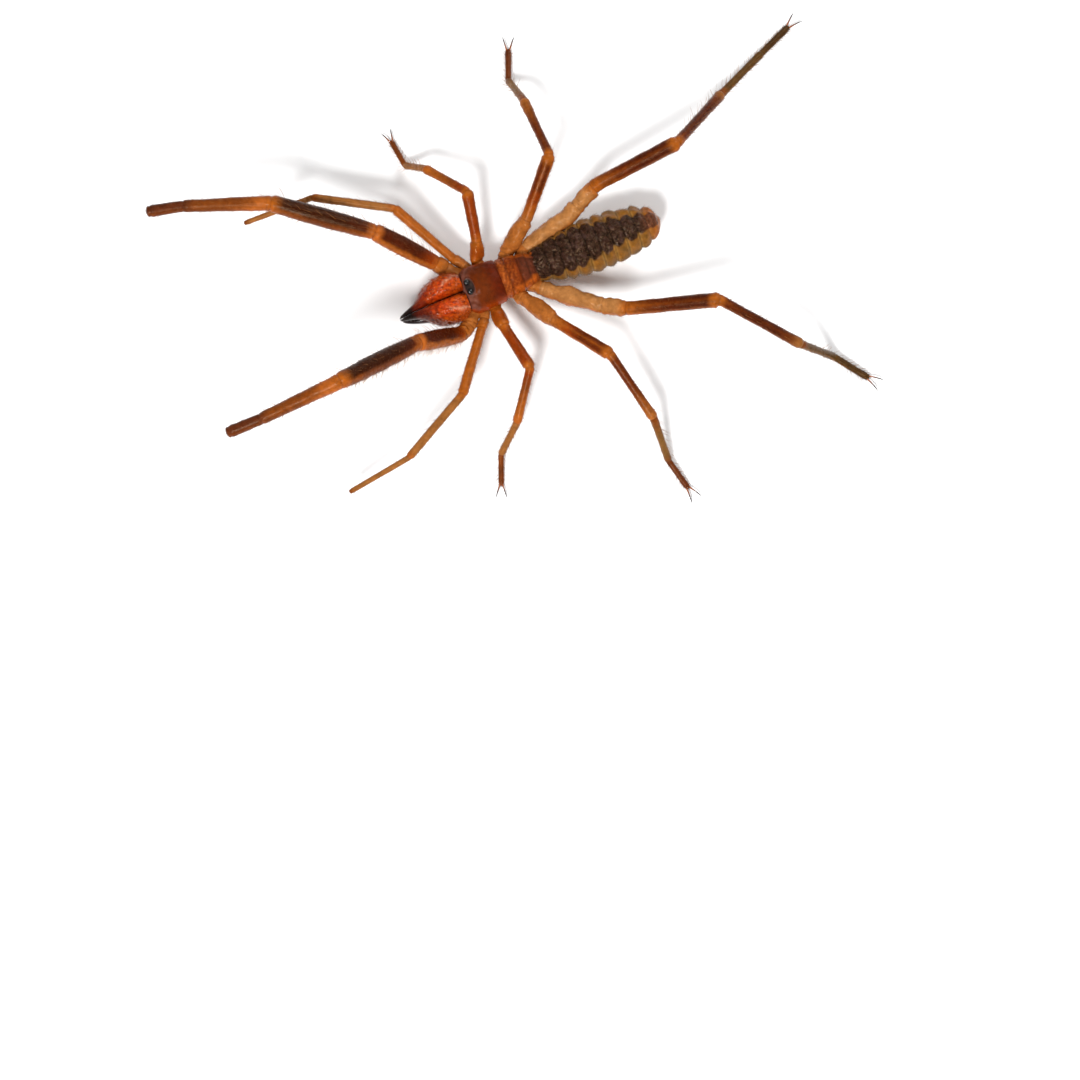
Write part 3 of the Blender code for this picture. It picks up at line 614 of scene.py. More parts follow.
def tinted(name, mottle, shades):
    """A material with its piece's own tint under noise: it, its nodes, the place and the dullness."""
    material = bpy.data.materials.new(name)
    material.use_nodes = True
    tree = material.node_tree
    tint = tree.nodes.new("ShaderNodeAttribute")
    tint.attribute_name = "tint"
    place = add_node(tree, "TexCoord", {}, "Object")
    noise = add_node(tree, "TexNoise", {"Vector": place, **mottle}, "Fac")
    shade = add_node(tree, "MapRange", {"Value": noise, **shades}, "Result")
    colour = add_node(tree, "VectorMath", {0: tint.outputs["Color"], "Scale": shade}, "Vector", "SCALE")
    fill(tree.nodes["Principled BSDF"], {"Base Color": colour})
    return material, tree, place, tint.outputs["Alpha"]


def cuticle(name, roughness, grain_scale, grain_depth, mottling, coat):
    """Glossy cuticle: the piece's own tint, mottled, with fine grain and small wrinkles."""
    shades = {**NOISE_SPAN, "To Min": 1 - mottling, "To Max": 1 + mottling * MOTTLE_LIFT}
    material, tree, place, dullness = tinted(name, MOTTLE, shades)
    polish = add_node(tree, "TexNoise", {"Vector": place, **POLISH}, "Fac")
    glosses = dict(zip(("To Min", "To Max"), (roughness * share for share in GLOSS_SPAN)))
    gloss = add_node(tree, "MapRange", {"Value": polish, **NOISE_SPAN, **glosses}, "Result")
    dulled = add_node(tree, "Math", {0: dullness, 1: DULL_SPAN, 2: -DULL_SPAN / 2}, "Value", "MULTIPLY_ADD")
    rough = add_node(tree, "Math", {0: gloss, 1: dulled}, "Value", "ADD")
    rough.node.use_clamp = True
    grain = add_node(tree, "TexNoise", {"Vector": place, "Scale": grain_scale, **GRAIN}, "Fac")
    cell_scale = grain_scale * CELLS_TO_GRAIN
    cells = add_node(tree, "TexVoronoi", {"Vector": place, "Scale": cell_scale}, "Distance")
    height = add_node(tree, "Math", {0: cells, 1: CELL_DEPTH, 2: grain}, "Value", "MULTIPLY_ADD")
    dents = {"Strength": RELIEF_STRENGTH, "Distance": grain_depth * MM, "Height": height}
    relief = add_node(tree, "Bump", dents, "Normal")
    fill(tree.nodes["Principled BSDF"],
         {"Specular IOR Level": CUTICLE_SHINE, "Specular Tint": AMBER_SHINE, "Coat Weight": coat,
          "Coat Roughness": COAT_ROUGHNESS, "Roughness": rough, "Normal": relief})
    return material


def plain_tinted(name, roughness, variation, shine=0.5, shine_colour=WHITE_SHINE):
    """A material for thin or polished pieces: their own tint with a little variation."""
    shades = {"To Min": 1 - variation, "To Max": 1 + variation}
    material, tree, _, _ = tinted(name, PLAIN_MOTTLE, shades)
    fill(tree.nodes["Principled BSDF"],
         {"Roughness": roughness, "Specular IOR Level": shine, "Specular Tint": shine_colour})
    return material


# Limbs

def direction(heading, rise, side):
    turn, lift = math.radians(heading), math.radians(rise)
    flat = math.cos(lift)
    return np.array([-math.cos(turn) * flat, math.sin(turn) * flat * side, math.sin(lift)])


def limb_joints(limb, word):
    """The joints of a limb from its coxa on; planted segments come down to the floor."""
    side = SIDES_OF[word]
    joints = [sided(limb["coxa"], side)]
    count = len(limb["segments"])
    for number, ((_, length, *_), (heading, rise)) in enumerate(zip(limb["segments"], limb[word])):
        if rise is None:
            toe_radius = limb["segments"][-1][4]
            target = ANKLE_HEIGHT if number == count - 2 else toe_radius - TOE_SINK
            rise = math.degrees(math.asin((target - joints[-1][2]) / length))
        joints.append(joints[-1] + direction(heading, rise, side) * length)
    return joints


def ring_distances(length):
    """Where a segment's rings lie, in mm from its start."""
    zone = min(JOINT_ZONE, length * ZONE_SHARE)
    near = np.arange(0, zone, JOINT_STEP)
    count = max(2, int((length - 2 * zone) / SHAFT_STEP))
    return np.concatenate([near, np.linspace(zone, length - zone, count), length - near[::-1][:-1]])


def rounded(start, end, before, after, distance, length, corner):
    """The centre line and its direction at a distance along a segment, rounded at its joints."""
    run = (end - start) / length
    if before is not None and distance < corner:
        share, joint, first, second = 0.5 + 0.5 * distance / corner, start, before, run
    elif after is not None and length - distance < corner:
        share, joint, first, second = 0.5 * (1 - (length - distance) / corner), end, run, after
    else:
        return start + run * distance, run
    near, far = joint - first * corner, joint + second * corner
    place = (1 - share) ** 2 * near + 2 * share * (1 - share) * joint + share ** 2 * far
    return place, unit((1 - share) * (joint - near) + share * (far - joint))


def limb_rings(kind, word):
    """Centre, direction, radius, segment, share along it and distances to its joints, for all rings."""
    limb = LIMBS[kind]
    points = [sided(limb["root"], SIDES_OF[word])] + limb_joints(limb, word)
    runs = [unit(after - before) for before, after in zip(points, points[1:])]
    neighbours = [None] + runs + [None]
    first_length = np.linalg.norm(points[1] - points[0])
    segments = [("coxa", first_length, *[limb["coxa_radius"]] * 3)] + list(limb["segments"])
    rows = []
    for number, (_, length, slim, full, far) in enumerate(segments):
        course = (points[number], points[number + 1], neighbours[number], neighbours[number + 2])
        for distance in ring_distances(length):
            place, tangent = rounded(*course, distance, length, slim)
            share = distance / length
            swell = (full - (slim + far) / 2) * math.sin(math.pi * share) ** SWELL_POWER
            radius = slim + (far - slim) * share + swell
            rows.append((place, tangent, radius, number, share, distance, length - distance))
    radius = rows[-1][2]
    for share in TIP_SHARES:
        place = points[-1] + runs[-1] * radius * TIP_REACH * share
        slimmer = radius * math.sqrt(1 - share ** 2)
        rows.append((place, runs[-1], slimmer, number, 1.0, FAR_OFF, FAR_OFF))
    return [np.array(column) for column in zip(*rows)], segments


def rim_of(tangent, upward, angle):
    """Directions round each place of a centre line, from the one nearest upward on."""
    first = unit(upward - tangent * (tangent @ upward)[:, None])
    second = np.cross(tangent, first)
    return np.cos(angle)[:, None] * first[:, None, :] + np.sin(angle)[:, None] * second[:, None, :]


def limb_grid(kind, word, number):
    """One limb as a grid: a continuous skin from inside the body to the toe."""
    (centre, tangent, radius, segment, share, from_start, to_end), segments = limb_rings(kind, word)
    inner = segment > 0
    spacing = np.linalg.norm(np.diff(centre, axis=0, prepend=centre[:1]), axis=1)
    travelled = np.cumsum(spacing)
    near = bump(travelled[:, None], travelled, JOINT_BLEND) * (spacing + 0.01)
    radius = np.where(share < 1.0, near @ radius / near.sum(axis=1), radius)
    soft = (segment <= 1) | ((segment == 2) & (kind == "leg_4"))
    groove = bump(from_start, 0, GROOVE_WIDTH) * inner + bump(to_end, 0, GROOVE_WIDTH)
    groove = GROOVE_DEPTH * groove * np.where(soft, SOFT_GROOVE, 1)
    collar = bump(to_end, *COLLAR_SPOT) + 0.5 * bump(from_start, *COLLAR_SPOT) * inner
    radius = radius * (1 - groove + COLLAR_HEIGHT * collar * ~soft)

    angle = angles_round(LIMB_SIDES)
    rim = rim_of(tangent, UPWARD, angle)
    places = centre[:, None, :] + rim * radius[:, None, None]
    fleshy = np.where(soft, *FLESHY)[:, None]
    wrinkled = np.where(soft, *WRINKLED)[:, None]
    swell = 1 + fleshy * (lumps(places, 3.4) + 0.5 * lumps(places, 1.3)) + wrinkled * lumps(places, 0.6)
    places = centre[:, None, :] + rim * (radius[:, None] * swell)[..., None]
    places[..., 2] = np.maximum(places[..., 2], 0.0)

    colours = limb_colours(kind, segments, segment, share, from_start, angle, places)
    dull = np.where(soft, *LIMB_DULL)[:, None] + 0.16 * lumps(places, 1.0)
    return Grid(places, colours, np.clip(dull, 0, 1), unwrap_strip(number))


def along_stops(stops, share):
    """The colour at each share of a segment's length, between its stops."""
    channels = np.array([linear(colour) for colour in stops[1::2]]).T
    return np.stack([np.interp(share, stops[::2], channel) for channel in channels], axis=-1)


def limb_colours(kind, segments, segment, share, from_start, angle, places):
    """The colour of each point of a limb: its back, darker in the middle of a segment, and its sides."""
    colours = np.zeros(places.shape)
    palp = kind == "pedipalp"
    stripe = PALP_STRIPE if palp else LEG_STRIPE
    off_back = off_middle(angle - PALP_STRIPE_TURN if palp else angle)
    wander = 0.1 * lumps(places, 2.6) + 0.05 * lumps(places, 0.9)
    for number, (name, *_) in enumerate(segments):
        here = segment == number
        stops = LIMB_COLOURS[kind].get(name, PLAIN_SEGMENT)
        back, flank = (along_stops(row, share[here])[:, None, :] for row in stops)
        off = off_back + wander[here]
        sideness = step(*stripe, off)
        # A painted highlight: a lighter line of the side colour along the top of the back.
        if (kind, name) in HIGHLIGHTED_ON_TOP:
            sideness = np.maximum(sideness, 0.5 * bump(off, 0, 0.2))
        colours[here] = paint(back, (flank, sideness))
    line = 0.35 * (bump(from_start, 0, 0.1) + 0.5 * bump(from_start, 0.8, 0.1)) * (segment > 0)
    fleck = 0.3 * step(0.45, 0.8, lumps(places, 0.42)) * step(0.6, 1.4, off_back)
    colours = paint(colours, (JOINT_DARK, line[:, None]), (FLESH, fleck * (segment > 1)[:, None]))
    return colours * (1 + 0.13 * lumps(places, 1.7) + 0.09 * lumps(places, 0.5))[..., None]


# Trunk: head shield, thorax and abdomen

def profile(table, x, softening):
    """The columns of a table of stations at each x, their corners softened over a short stretch."""
    stations, *columns = zip(*sorted(table))
    shifts = np.linspace(-softening, softening, 5)
    return [sum(np.interp(x + shift, stations, column) for shift in shifts) / len(shifts)
            for column in columns]


def trunk_profile(x):
    """Half width, top, height of the widest part and underside of the trunk at each x."""
    share = (x - ABDOMEN_START) / ABDOMEN_LENGTH
    width = profile(ABDOMEN_WIDTHS, share, 0.03)[0]
    phase = share * ABDOMEN_SEGMENTS + FURROW_WANDER * np.sin(share * FURROW_WAVE)
    furrow = 1 - np.abs(np.sin(math.pi * phase)) ** FURROW_POWER
    width = width - FURROW_DEPTH * furrow * step(0.0, 0.04, share)
    tail = np.clip((share - TAIL_START) / (1 - TAIL_START), 0, 1)
    width = width * np.sqrt(1 - TAIL_NARROWING * tail ** 2)
    axis = ABDOMEN_AXIS[0] + (ABDOMEN_AXIS[1] - ABDOMEN_AXIS[0]) * share
    half = width * ABDOMEN_HEIGHT_SHARE
    rear = (width, axis + half, axis, axis - half)
    return np.where(x < ABDOMEN_START, profile(TRUNK_STATIONS, x, 0.12), rear)


def section(top, widest, low, sides):
    """Each side's angle, its shares up and across, its outward direction and a ring's half height."""
    angle = angles_round(sides)
    up, across = np.cos(angle)[None, :], np.sin(angle)[None, :]
    height = np.where(up > 0, (top - widest)[:, None], (widest - low)[:, None])
    return angle, up, across, stacked(np.zeros_like(height), across, up), height


def trunk_grid():
    x = np.arange(TRUNK_STATIONS[0][0], ABDOMEN_START + ABDOMEN_LENGTH, TRUNK_STEP)
    front = x[0]
    x = np.concatenate([np.array(NOSE_RINGS) + front, x])
    width, top, widest, low = trunk_profile(np.maximum(x, front))
    close = np.sqrt(1 - (np.maximum(front - x, 0) / NOSE_LENGTH) ** 2)
    angle, up, across, outward, height = section(top, widest, low, TRUNK_SIDES)
    x = x[:, None]
    places = stacked(x, across * (width * close)[:, None], widest[:, None] + up * height * close[:, None])
    off_back = off_middle(angle)[None, :]
    share = (x - ABDOMEN_START) / ABDOMEN_LENGTH
    band = band_mask(share, off_back, places)
    relief = PILLOW_HEIGHT * band * (pillows(places) - 0.4) + 0.2 * (share > 0) * lumps(places, 2.6)
    relief = relief + WART_HEIGHT * band * warts(places)
    relief = relief + 0.05 * (share <= 0) * lumps(places, 1.8) + 0.02 * lumps(places, 0.7)
    places = places + outward * relief[..., None]
    dull = np.where(share > 0, 0.55 - 0.47 * band, 0.95 - 0.45 * step(*BACK_EDGE, off_back))
    dull = dull - 0.3 * bump(x, 1.3, 0.9) + 0.12 * lumps(places, 0.8)
    colours = trunk_colours(x, off_back, share, band, places)
    return Grid(places, colours, np.clip(dull, 0, 1), TRUNK_STRIP)


def pillows(places):
    """Rounded warts with narrow creases between them, 0 in a crease and about 1 on top."""
    return np.clip(np.abs(lumps(places, 2.3)) * 2.2, 0, 1) ** 0.7 * 0.75 + 0.25 * lumps(places, 0.8)


def warts(places):
    """Small beads between fine creases, from -1 to 1."""
    return 2 * np.clip(np.abs(lumps(places, 1.15)) * 2.4, 0, 1) - 1


def waist_phase(share):
    """1 where two segments of the abdomen meet, 0 in the middle of each."""
    return np.abs(np.cos(math.pi * share * ABDOMEN_SEGMENTS))


def band_mask(share, off_back, places):
    """1 on the dark warty band down the abdomen's back, 0 on its flanks."""
    half = np.interp(share, *BAND_HALF)
    half = half + 0.06 * lumps(places, 3.6) + 0.07 * lumps(places, 1.5) - 0.12 * waist_phase(share) ** 6
    return (1 - step(-0.07, 0.07, off_back - half)) * (1 - step(*BAND_REAR, share)) * (share > BAND_FRONT)


def trunk_colours(x, off, share, band, places):
    """Markings from the shield's front rim to the abdomen's rear, and painted shade and highlights on the
    band.
    """
    speckle = step(-0.3, 0.5, lumps(places, 0.55))
    near_eyes = 1.0 - 0.7 * step(0.5, 1.3, off)
    front = 0.85 * step(-4.4, -5.5, x + 0.3 * near_eyes) * (1 - step(1.1, 1.4, off))
    shield = paint(
        SHIELD_BROWN, (SHIELD_REAR, step(-3.0, -0.4, x)), (SHIELD_SIDE, step(0.85, 1.3, off)),
        (SHIELD_FRONT, front * (0.8 + 0.5 * lumps(places, 0.9))),
        (SHIELD_RIM, 0.6 * bump(x, -6.95, 0.14) * (1 - step(*BACK_EDGE, off))),
        (PALE_BAND, step(0.5, 0.9, x) * (0.45 + 0.55 * speckle)))
    edge = np.interp(x, *THORAX_EDGE) + 0.1 * lumps(places, 2.0)
    seams = sum(bump(x, place, width) for place, width in THORAX_SEAMS)
    thorax = paint(
        THORAX_BROWN, (THORAX_PLUM, step(4.4, 5.4, x)), (PALE_BAND, 0.45 * speckle * step(4.6, 3.6, x)),
        (THORAX_SIDE, step(0.0, 0.35, off - edge)), (BAND_DARK, 0.45 * seams))
    waist = waist_phase(share)
    flank = paint(
        FLANK_AMBER, (FLANK_OLIVE, step(0.9, 1.7, off) + 0.5 * lumps(places, 2.5)),
        (FLANK_RIM, 0.6 * bump(waist, 0.96, 0.06)), (BAND_DARK, 0.35 * bump(waist, 1.0, 0.012)),
        (REAR_ORANGE, step(0.84, 0.95, share)))
    tops = pillows(places)
    stripes = 0.5 + 0.5 * np.sin(share * 220 + 2 * lumps(places, 2.0))
    # The band: its dark colour is painted shade where it shows in the creases between the pillows and is
    # laid again in the creases between the beads; the pale on the pillows' tops is a painted highlight.
    dark = paint(
        BAND_DARK, (BAND_PLUM, step(0.05, 0.4, tops)), (BAND_PALE_AND_HIGHLIGHT, 0.5 * step(0.65, 1.05, tops)),
        (BAND_DARK, 0.6 * step(-0.1, -0.8, warts(places))),
        (BAND_PALE_AND_HIGHLIGHT, 0.35 * step(0.35, 0.8, lumps(places, 3.0)) * step(0.15, 0.3, share)),
        (BAND_DARK, 0.7 * bump(waist, 1.0, 0.04)),
        (REAR_RUST, (0.5 + 0.5 * stripes) * step(0.82, 0.9, share)))
    abdomen = paint(flank, (dark, band))
    colours = paint(
        shield, (thorax, step(1.9, 2.4, x)),
        (abdomen, step(-0.006, 0.01, share + 0.014 * lumps(places, 1.4))),
        (UNDERSIDE, 0.8 * step(1.9, 2.5, off)))
    return colours * (1 + 0.16 * lumps(places, 1.1) + 0.1 * lumps(places, 0.45))[..., None]


def ball_grid(centre, radii, colour, rings=24, sides=36):
    """A ball, squashed to its radii, as a grid with its poles along X."""
    rise = np.linspace(BALL_END, math.pi - BALL_END, rings)[:, None]
    angle = angles_round(sides)
    ball = stacked(-np.cos(rise), np.sin(rise) * np.sin(angle), np.sin(rise) * np.cos(angle))
    return Grid(np.asarray(centre) + ball * np.asarray(radii), linear(colour))


def mound_grid():
    """The eye mound on the front of the shield, black round the eyes and plum at its foot."""
    grid = ball_grid(MOUND_CENTRE, MOUND_RADII, MOUND_BLACK)
    foot = step(0.8, 0.4, (grid.places[..., 2] - MOUND_CENTRE[2]) / MOUND_RADII[2])
    grid.colours = paint(grid.colours, (SHIELD_FRONT, foot))
    return grid


# Jaws

def jaw_grid(word):
    side = SIDES_OF[word]
    tip = JAW_STATIONS[-1][0]
    x = np.arange(JAW_STATIONS[0][0], tip, -JAW_STEP)
    width, top, widest, low = profile(JAW_STATIONS, x, 0.3)
    close = np.sqrt(np.clip((x - tip + 0.1) / 0.5, 0.05, 1))
    width, top, low = width * close, widest + (top - widest) * close, widest - (widest - low) * close
    _, up, across, outward, height = section(top, widest, low, JAW_SIDES)
    square = (np.abs(up) ** JAW_FULLNESS + np.abs(across) ** JAW_FULLNESS) ** (1 / JAW_FULLNESS)
    fuller = 1 + step(0.0, 0.5, -across * side) * (1 / square - 1)
    middle = side * (JAW_INNER + width)[:, None]
    x = x[:, None]
    places = stacked(x, middle + across * fuller * width[:, None], widest[:, None] + up * fuller * height)
    hand = step(-16.5, -14.5, x)
    inward = step(0.3, 0.9, -across * side)
    # Wrinkles: their creases lie where this is near 0, and take painted shade in the colours below.
    wrinkle = np.abs(lumps(places, 1.1))
    streak = lumps(places * np.array(STREAK_STRETCH), 0.62)
    relief = 0.1 * lumps(places, 2.0) + 0.16 * (wrinkle - 0.3) + 0.07 * streak + 0.03 * lumps(places, 0.5)
    places = places + outward * (hand * relief * (1 - inward))[..., None]

    lean = np.arctan2(across * side, up)
    # A painted highlight: a pale streak along the crest of each jaw, which is also glossier there.
    highlight_lean = np.interp(x, *CREST_HIGHLIGHT_COURSE) + 0.12 * lumps(places, 2.2)
    crest_highlight = bump(lean, highlight_lean, 0.11) * step(-12.4, -9.8, x) * (0.9 + 0.5 * lumps(places, 0.6))
    # Painted shade: the hollow between the jaws, in front of the eyes, is darkened.
    hollow_shade = step(-9.2, -7.6, x) * (1 - step(0.4, 1.2, np.abs(places[..., 1])))
    colours = paint(
        JAW_RED, (JAW_SIDE, 0.6 * step(-11.5, -7.5, x + lumps(places, 2.2))),
        (JAW_SIDE, step(0.25, 1.0, lean + 0.2 * lumps(places, 2.0))),
        (JAW_DARK, 0.6 * step(0.16, 0.02, wrinkle) * hand), (JAW_DARK, 0.55 * step(0.1, 0.6, streak) * hand),
        (JAW_SIDE, 0.6 * step(-0.2, -0.6, streak) * hand), (JAW_DARK, 0.6 * hollow_shade),
        (JAW_CREST_HIGHLIGHT, 0.85 * crest_highlight), (JAW_DARK, 0.85 * step(-12.4, -16.4, x + 0.8 * lumps(places, 1.6))),
        (FINGER_BLACK, step(-16.9, -18.6, x + 0.2 * lumps(places, 0.8))))
    colours = colours * (1 + 0.22 * lumps(places, 0.8) + 0.12 * lumps(places, 0.35))[..., None]
    dull = 0.42 - 0.25 * crest_highlight + 0.1 * lumps(places, 0.6)
    return Grid(places, colours, np.clip(dull, 0, 1), JAW_STRIPS[word])


def smooth_path(points, count):
    """A smooth curve through a few points, by Catmull and Rom's rule."""
    points = np.asarray(points, float)
    padded = np.concatenate([[2 * points[0] - points[1]], points, [2 * points[-1] - points[-2]]])
    place = np.linspace(0, len(points) - 1, count)
    number = np.minimum(place.astype(int), len(points) - 2)
    share = (place - number)[:, None]
    a, b, c, d = (padded[number + shift] for shift in range(4))
    return 0.5 * (2 * b + (c - a) * share + (2 * a - 5 * b + 4 * c - d) * share ** 2
                  + (3 * b - a - 3 * c + d) * share ** 3)


def swept_grid(points, radii, sides, count, colour, tip_colour):
    """A smooth tapering tube, coloured from its root to its tip."""
    centre = smooth_path(points, count)
    radius = smooth_path(np.asarray(radii, float)[:, None], count)[:, 0]
    tangent = unit(np.gradient(centre, axis=0))
    upward = UPWARD if abs(tangent[0][2]) < 0.8 else BACKWARD
    rim = rim_of(tangent, upward, angles_round(sides))
    places = centre[:, None, :] + rim * np.maximum(radius, THINNEST)[:, None, None]
    share = np.linspace(0, 1, count)[:, None]
    return Grid(places, paint(colour, (tip_colour, step(0.1, 0.7, share))))


def teeth_grids(edge, upward, count):
    """A row of hooked teeth along a finger's biting edge, large and small in turn."""
    grids = []
    for number, root in enumerate(smooth_path(edge, count)):
        length = TOOTH_LENGTH * (1.0 if number % 2 else SMALL_TOOTH)
        lean = np.array([TOOTH_LEAN - TOOTH_TURN * number / count, 0, upward])
        tip = root + lean * length + np.array(TOOTH_HOOK)
        points = [root - lean * TOOTH_ROOT, root + lean * length * 0.5, tip]
        radii = (TOOTH_RADIUS, TOOTH_RADIUS * TOOTH_MIDDLE, POINT_RADIUS)
        grids.append(swept_grid(points, radii, 10, 8, FINGER_RED, FINGER_BLACK))
    return grids


def build_jaws(skin, horn):
    """Both jaws and their moving fingers with their teeth; returns the jaws' grids for their hair."""
    hands = {}
    for word, side in SIDES_OF.items():
        hands[word] = jaw_grid(word)
        edge = [sided(point, side) for point in FIXED_EDGE]
        grids = [hands[word]] + teeth_grids(edge, -1, 6)
        grid_piece(f"jaw_{word}", grids, skin, "jaw_cuticle", f"chelicera_{word}")
        points = [sided(point, side) for point, _ in MOVING_FINGER]
        radii = [radius for _, radius in MOVING_FINGER]
        edge = [point + UPWARD * (radius * 0.8) for point, radius in zip(points[2:5], radii[2:5])]
        grids = [swept_grid(points, radii, 32, 60, JAW_DARK, FINGER_BLACK)] + teeth_grids(edge, 1, 5)
        grid_piece(f"jaw_finger_{word}", grids, horn, "finger_horn", f"chelicera_finger_{word}")
    return hands


def build_eyes(gloss):
    for word, side in SIDES_OF.items():
        centre, radius = SHOWN_EYE
        eye = ball_grid(sided(centre, side), (radius,) * 3, EYE_BLACK, 28, 40)
        grid_piece(f"eyeball_{word}", [eye], gloss, "eye_gloss", f"eye_{word}")


# Claws and racket organs

def claw_grids(kind, word):
    """Two long claws at a toe: a dark stalk and a thin hooked end."""
    limb = LIMBS[kind]
    ankle, toe = limb_joints(limb, word)[-2:]
    level = unit((toe - ankle) * np.array([1, 1, 0]))
    across = np.cross(level, UPWARD)
    length = limb["claw"]
    grids = []
    for lean in (-1, 1):
        spread = math.radians(CLAW_SPREAD) * lean
        aim = level * math.cos(spread) + across * math.sin(spread)
        root = toe - level * CLAW_INSET + across * lean * CLAW_APART
        points = [root + aim * length * share + UPWARD * rise for share, rise in CLAW_ARCH]
        tip = root + aim * (length + CLAW_REACH)
        tip[2] = CLAW_TIP_HEIGHT
        radii = [CLAW_RADIUS * share for share in CLAW_TAPER] + [POINT_RADIUS]
        grids.append(swept_grid(points + [tip], radii, 10, 22, CLAW_ROOT, CLAW_BROWN))
    return grids


def racket_grids(word):
    """Racket organs: thin pale fans on stalks under the first segment of a rear leg."""
    start, end = limb_joints(LIMBS["leg_4"], word)[:2]
    run = unit(end - start)
    turn = math.atan2(run[1], run[0])
    turned = np.array([[math.cos(turn), math.sin(turn), 0], [-math.sin(turn), math.cos(turn), 0], [0, 0, 1]])
    grids = []
    for number in range(RACKET_COUNT):
        centre = start + (end - start) * (RACKET_FIRST + RACKET_RUN * number / (RACKET_COUNT - 1))
        points = [centre - UPWARD * drop for drop in RACKET_DROPS]
        grids.append(swept_grid(points, RACKET_STALK, 10, 8, RACKET_PALE, RACKET_PALE))
        fan = ball_grid((0, 0, 0), RACKET_FAN, RACKET_PALE, 16, 20)
        fan.places = fan.places @ turned + points[-1]
        grids.append(fan)
    return grids


# Hair. A root is a place on a grid with its outward and lengthwise directions.

def rooted(grid, ring, spot, place, outward, lie):
    return {"place": place, "outward": outward, "lie": lie, "colour": grid.colours[ring, spot],
            "unwrap": grid.unwrap[ring, spot]}


def grid_roots(grid, rings, density, weight=1.0):
    """Random roots over some of a grid's rings, evenly spread by area, in 1/mm2."""
    places = grid.places
    along = places[1:] - places[:-1]
    around = (np.roll(places, -1, axis=1) - places)[:-1]
    normal = np.cross(around, along)
    chance = np.linalg.norm(normal, axis=-1) * density * np.broadcast_to(weight, places.shape[:2])[:-1]
    chance[~rings[:-1]] = 0
    count = draw.poisson(chance)
    ring, spot = np.nonzero(count)
    times = count[ring, spot]
    ring, spot = np.repeat(ring, times), np.repeat(spot, times)
    share_along, share_around = draw.random(len(ring))[:, None], draw.random(len(ring))[:, None]
    place = places[ring, spot] + along[ring, spot] * share_along + around[ring, spot] * share_around
    outward = unit(normal[ring, spot], TINY)
    centre = places.mean(axis=1)[ring]
    outward = outward * np.sign(np.sum(outward * (place - centre), axis=1))[:, None]
    return rooted(grid, ring, spot, place, outward, unit(along[ring, spot], TINY))


def spine_roots(grid, kind, word):
    """The roots and lengths of a limb's spines, in rows along its segments."""
    (_, _, _, segment, share, _, _), segments = limb_rings(kind, word)
    names = [name for name, *_ in segments]
    picked, lengths = [], []
    for name, (angles, count, length) in SPINE_ROWS[kind].items():
        rings = np.nonzero(segment == names.index(name))[0]
        for angle in angles:
            for number in range(count):
                middle = number + 0.5 + draw.uniform(-SPINE_SHIFT, SPINE_SHIFT)
                at = middle / count * SPINE_RUN + SPINE_FIRST
                ring = rings[np.argmin(np.abs(share[rings] - at))]
                turn = (angle + draw.uniform(-SPINE_TURN, SPINE_TURN)) / 360 % 1
                picked.append((min(ring, len(share) - 2), int(turn * LIMB_SIDES) % LIMB_SIDES))
                lengths.append(length * draw.uniform(*SPINE_VARIES))
    ring, spot = np.array(picked).T
    centre = grid.places.mean(axis=1)
    place = grid.places[ring, spot]
    outward, lie = unit(place - centre[ring]), unit(centre[ring + 1] - centre[ring])
    return rooted(grid, ring, spot, place, outward, lie), np.array(lengths)


def hair_piece(name, kind, groups, material, lengths=None):
    """Bent, tapering hairs from groups of roots, as one mesh with a patch each on the unwrap."""
    roots = {key: np.concatenate([group[key] for group in groups]) for key in groups[0]}
    place, outward, lie = roots["place"], roots["outward"], roots["lie"]
    count, levels, sides = len(place), kind.levels, kind.sides
    jitter = draw.normal(size=(count, 3)) * kind.spread
    tilt = math.radians(kind.lean)
    aim = unit(outward * math.cos(tilt) + lie * math.sin(tilt) + jitter)
    bend = lie * HAIR_BEND + draw.normal(size=(count, 3)) * BEND_VARIES
    first = unit(np.cross(aim, lie + 0.01), TINY)
    second = np.cross(aim, first)
    if lengths is None:
        lengths = kind.length * draw.uniform(*LENGTH_VARIES, count)
    long = lengths[:, None]
    wide = kind.thickness * draw.uniform(*THICKNESS_VARIES, count)[:, None]
    rows = []
    for level in range(levels):
        share = level / levels
        centre = place - outward * ROOT_SINK + aim * long * share + bend * long * share ** 2
        for turn in angles_round(sides):
            around = first * math.cos(turn) + second * math.sin(turn)
            rows.append(centre + around * wide * (1 - HAIR_TAPER * share))
    rows.append(place + aim * long + bend * long)
    places = np.stack(rows, axis=1)
    places[..., 2] = np.clip(places[..., 2], FLOOR_CLEAR, HIGHEST_HAIR)

    per = len(rows)
    quads, ends = [], []
    for level in range(levels):
        for corner in range(sides):
            here, after = level * sides + corner, level * sides + (corner + 1) % sides
            if level < levels - 1:
                quads.append([here, after, after + sides, here + sides])
            else:
                ends.append([here, after, per - 1])
    faces = []
    for pattern in (np.array(quads), np.array(ends)):
        numbers = (np.arange(count) * per)[:, None, None] + pattern
        faces += numbers.reshape(-1, pattern.shape[1]).tolist()
    shade = draw.uniform(*SHADE_VARIES, count)[:, None]
    colours = np.clip((roots["colour"] * kind.keep + linear(kind.colour) * (1 - kind.keep)) * shade, 0, 1)
    colours = np.repeat(np.column_stack([colours, np.full(count, MID_DULL)]), per, axis=0)
    offsets = np.array([((number % sides) / sides, number / per) for number in range(per)])
    unwrap = (roots["unwrap"][:, None, :] + offsets[None] * TUFT_PATCH).reshape(-1, 2)
    make_piece(name, places.reshape(-1, 3), faces, colours, material, unwrap)


# The scene

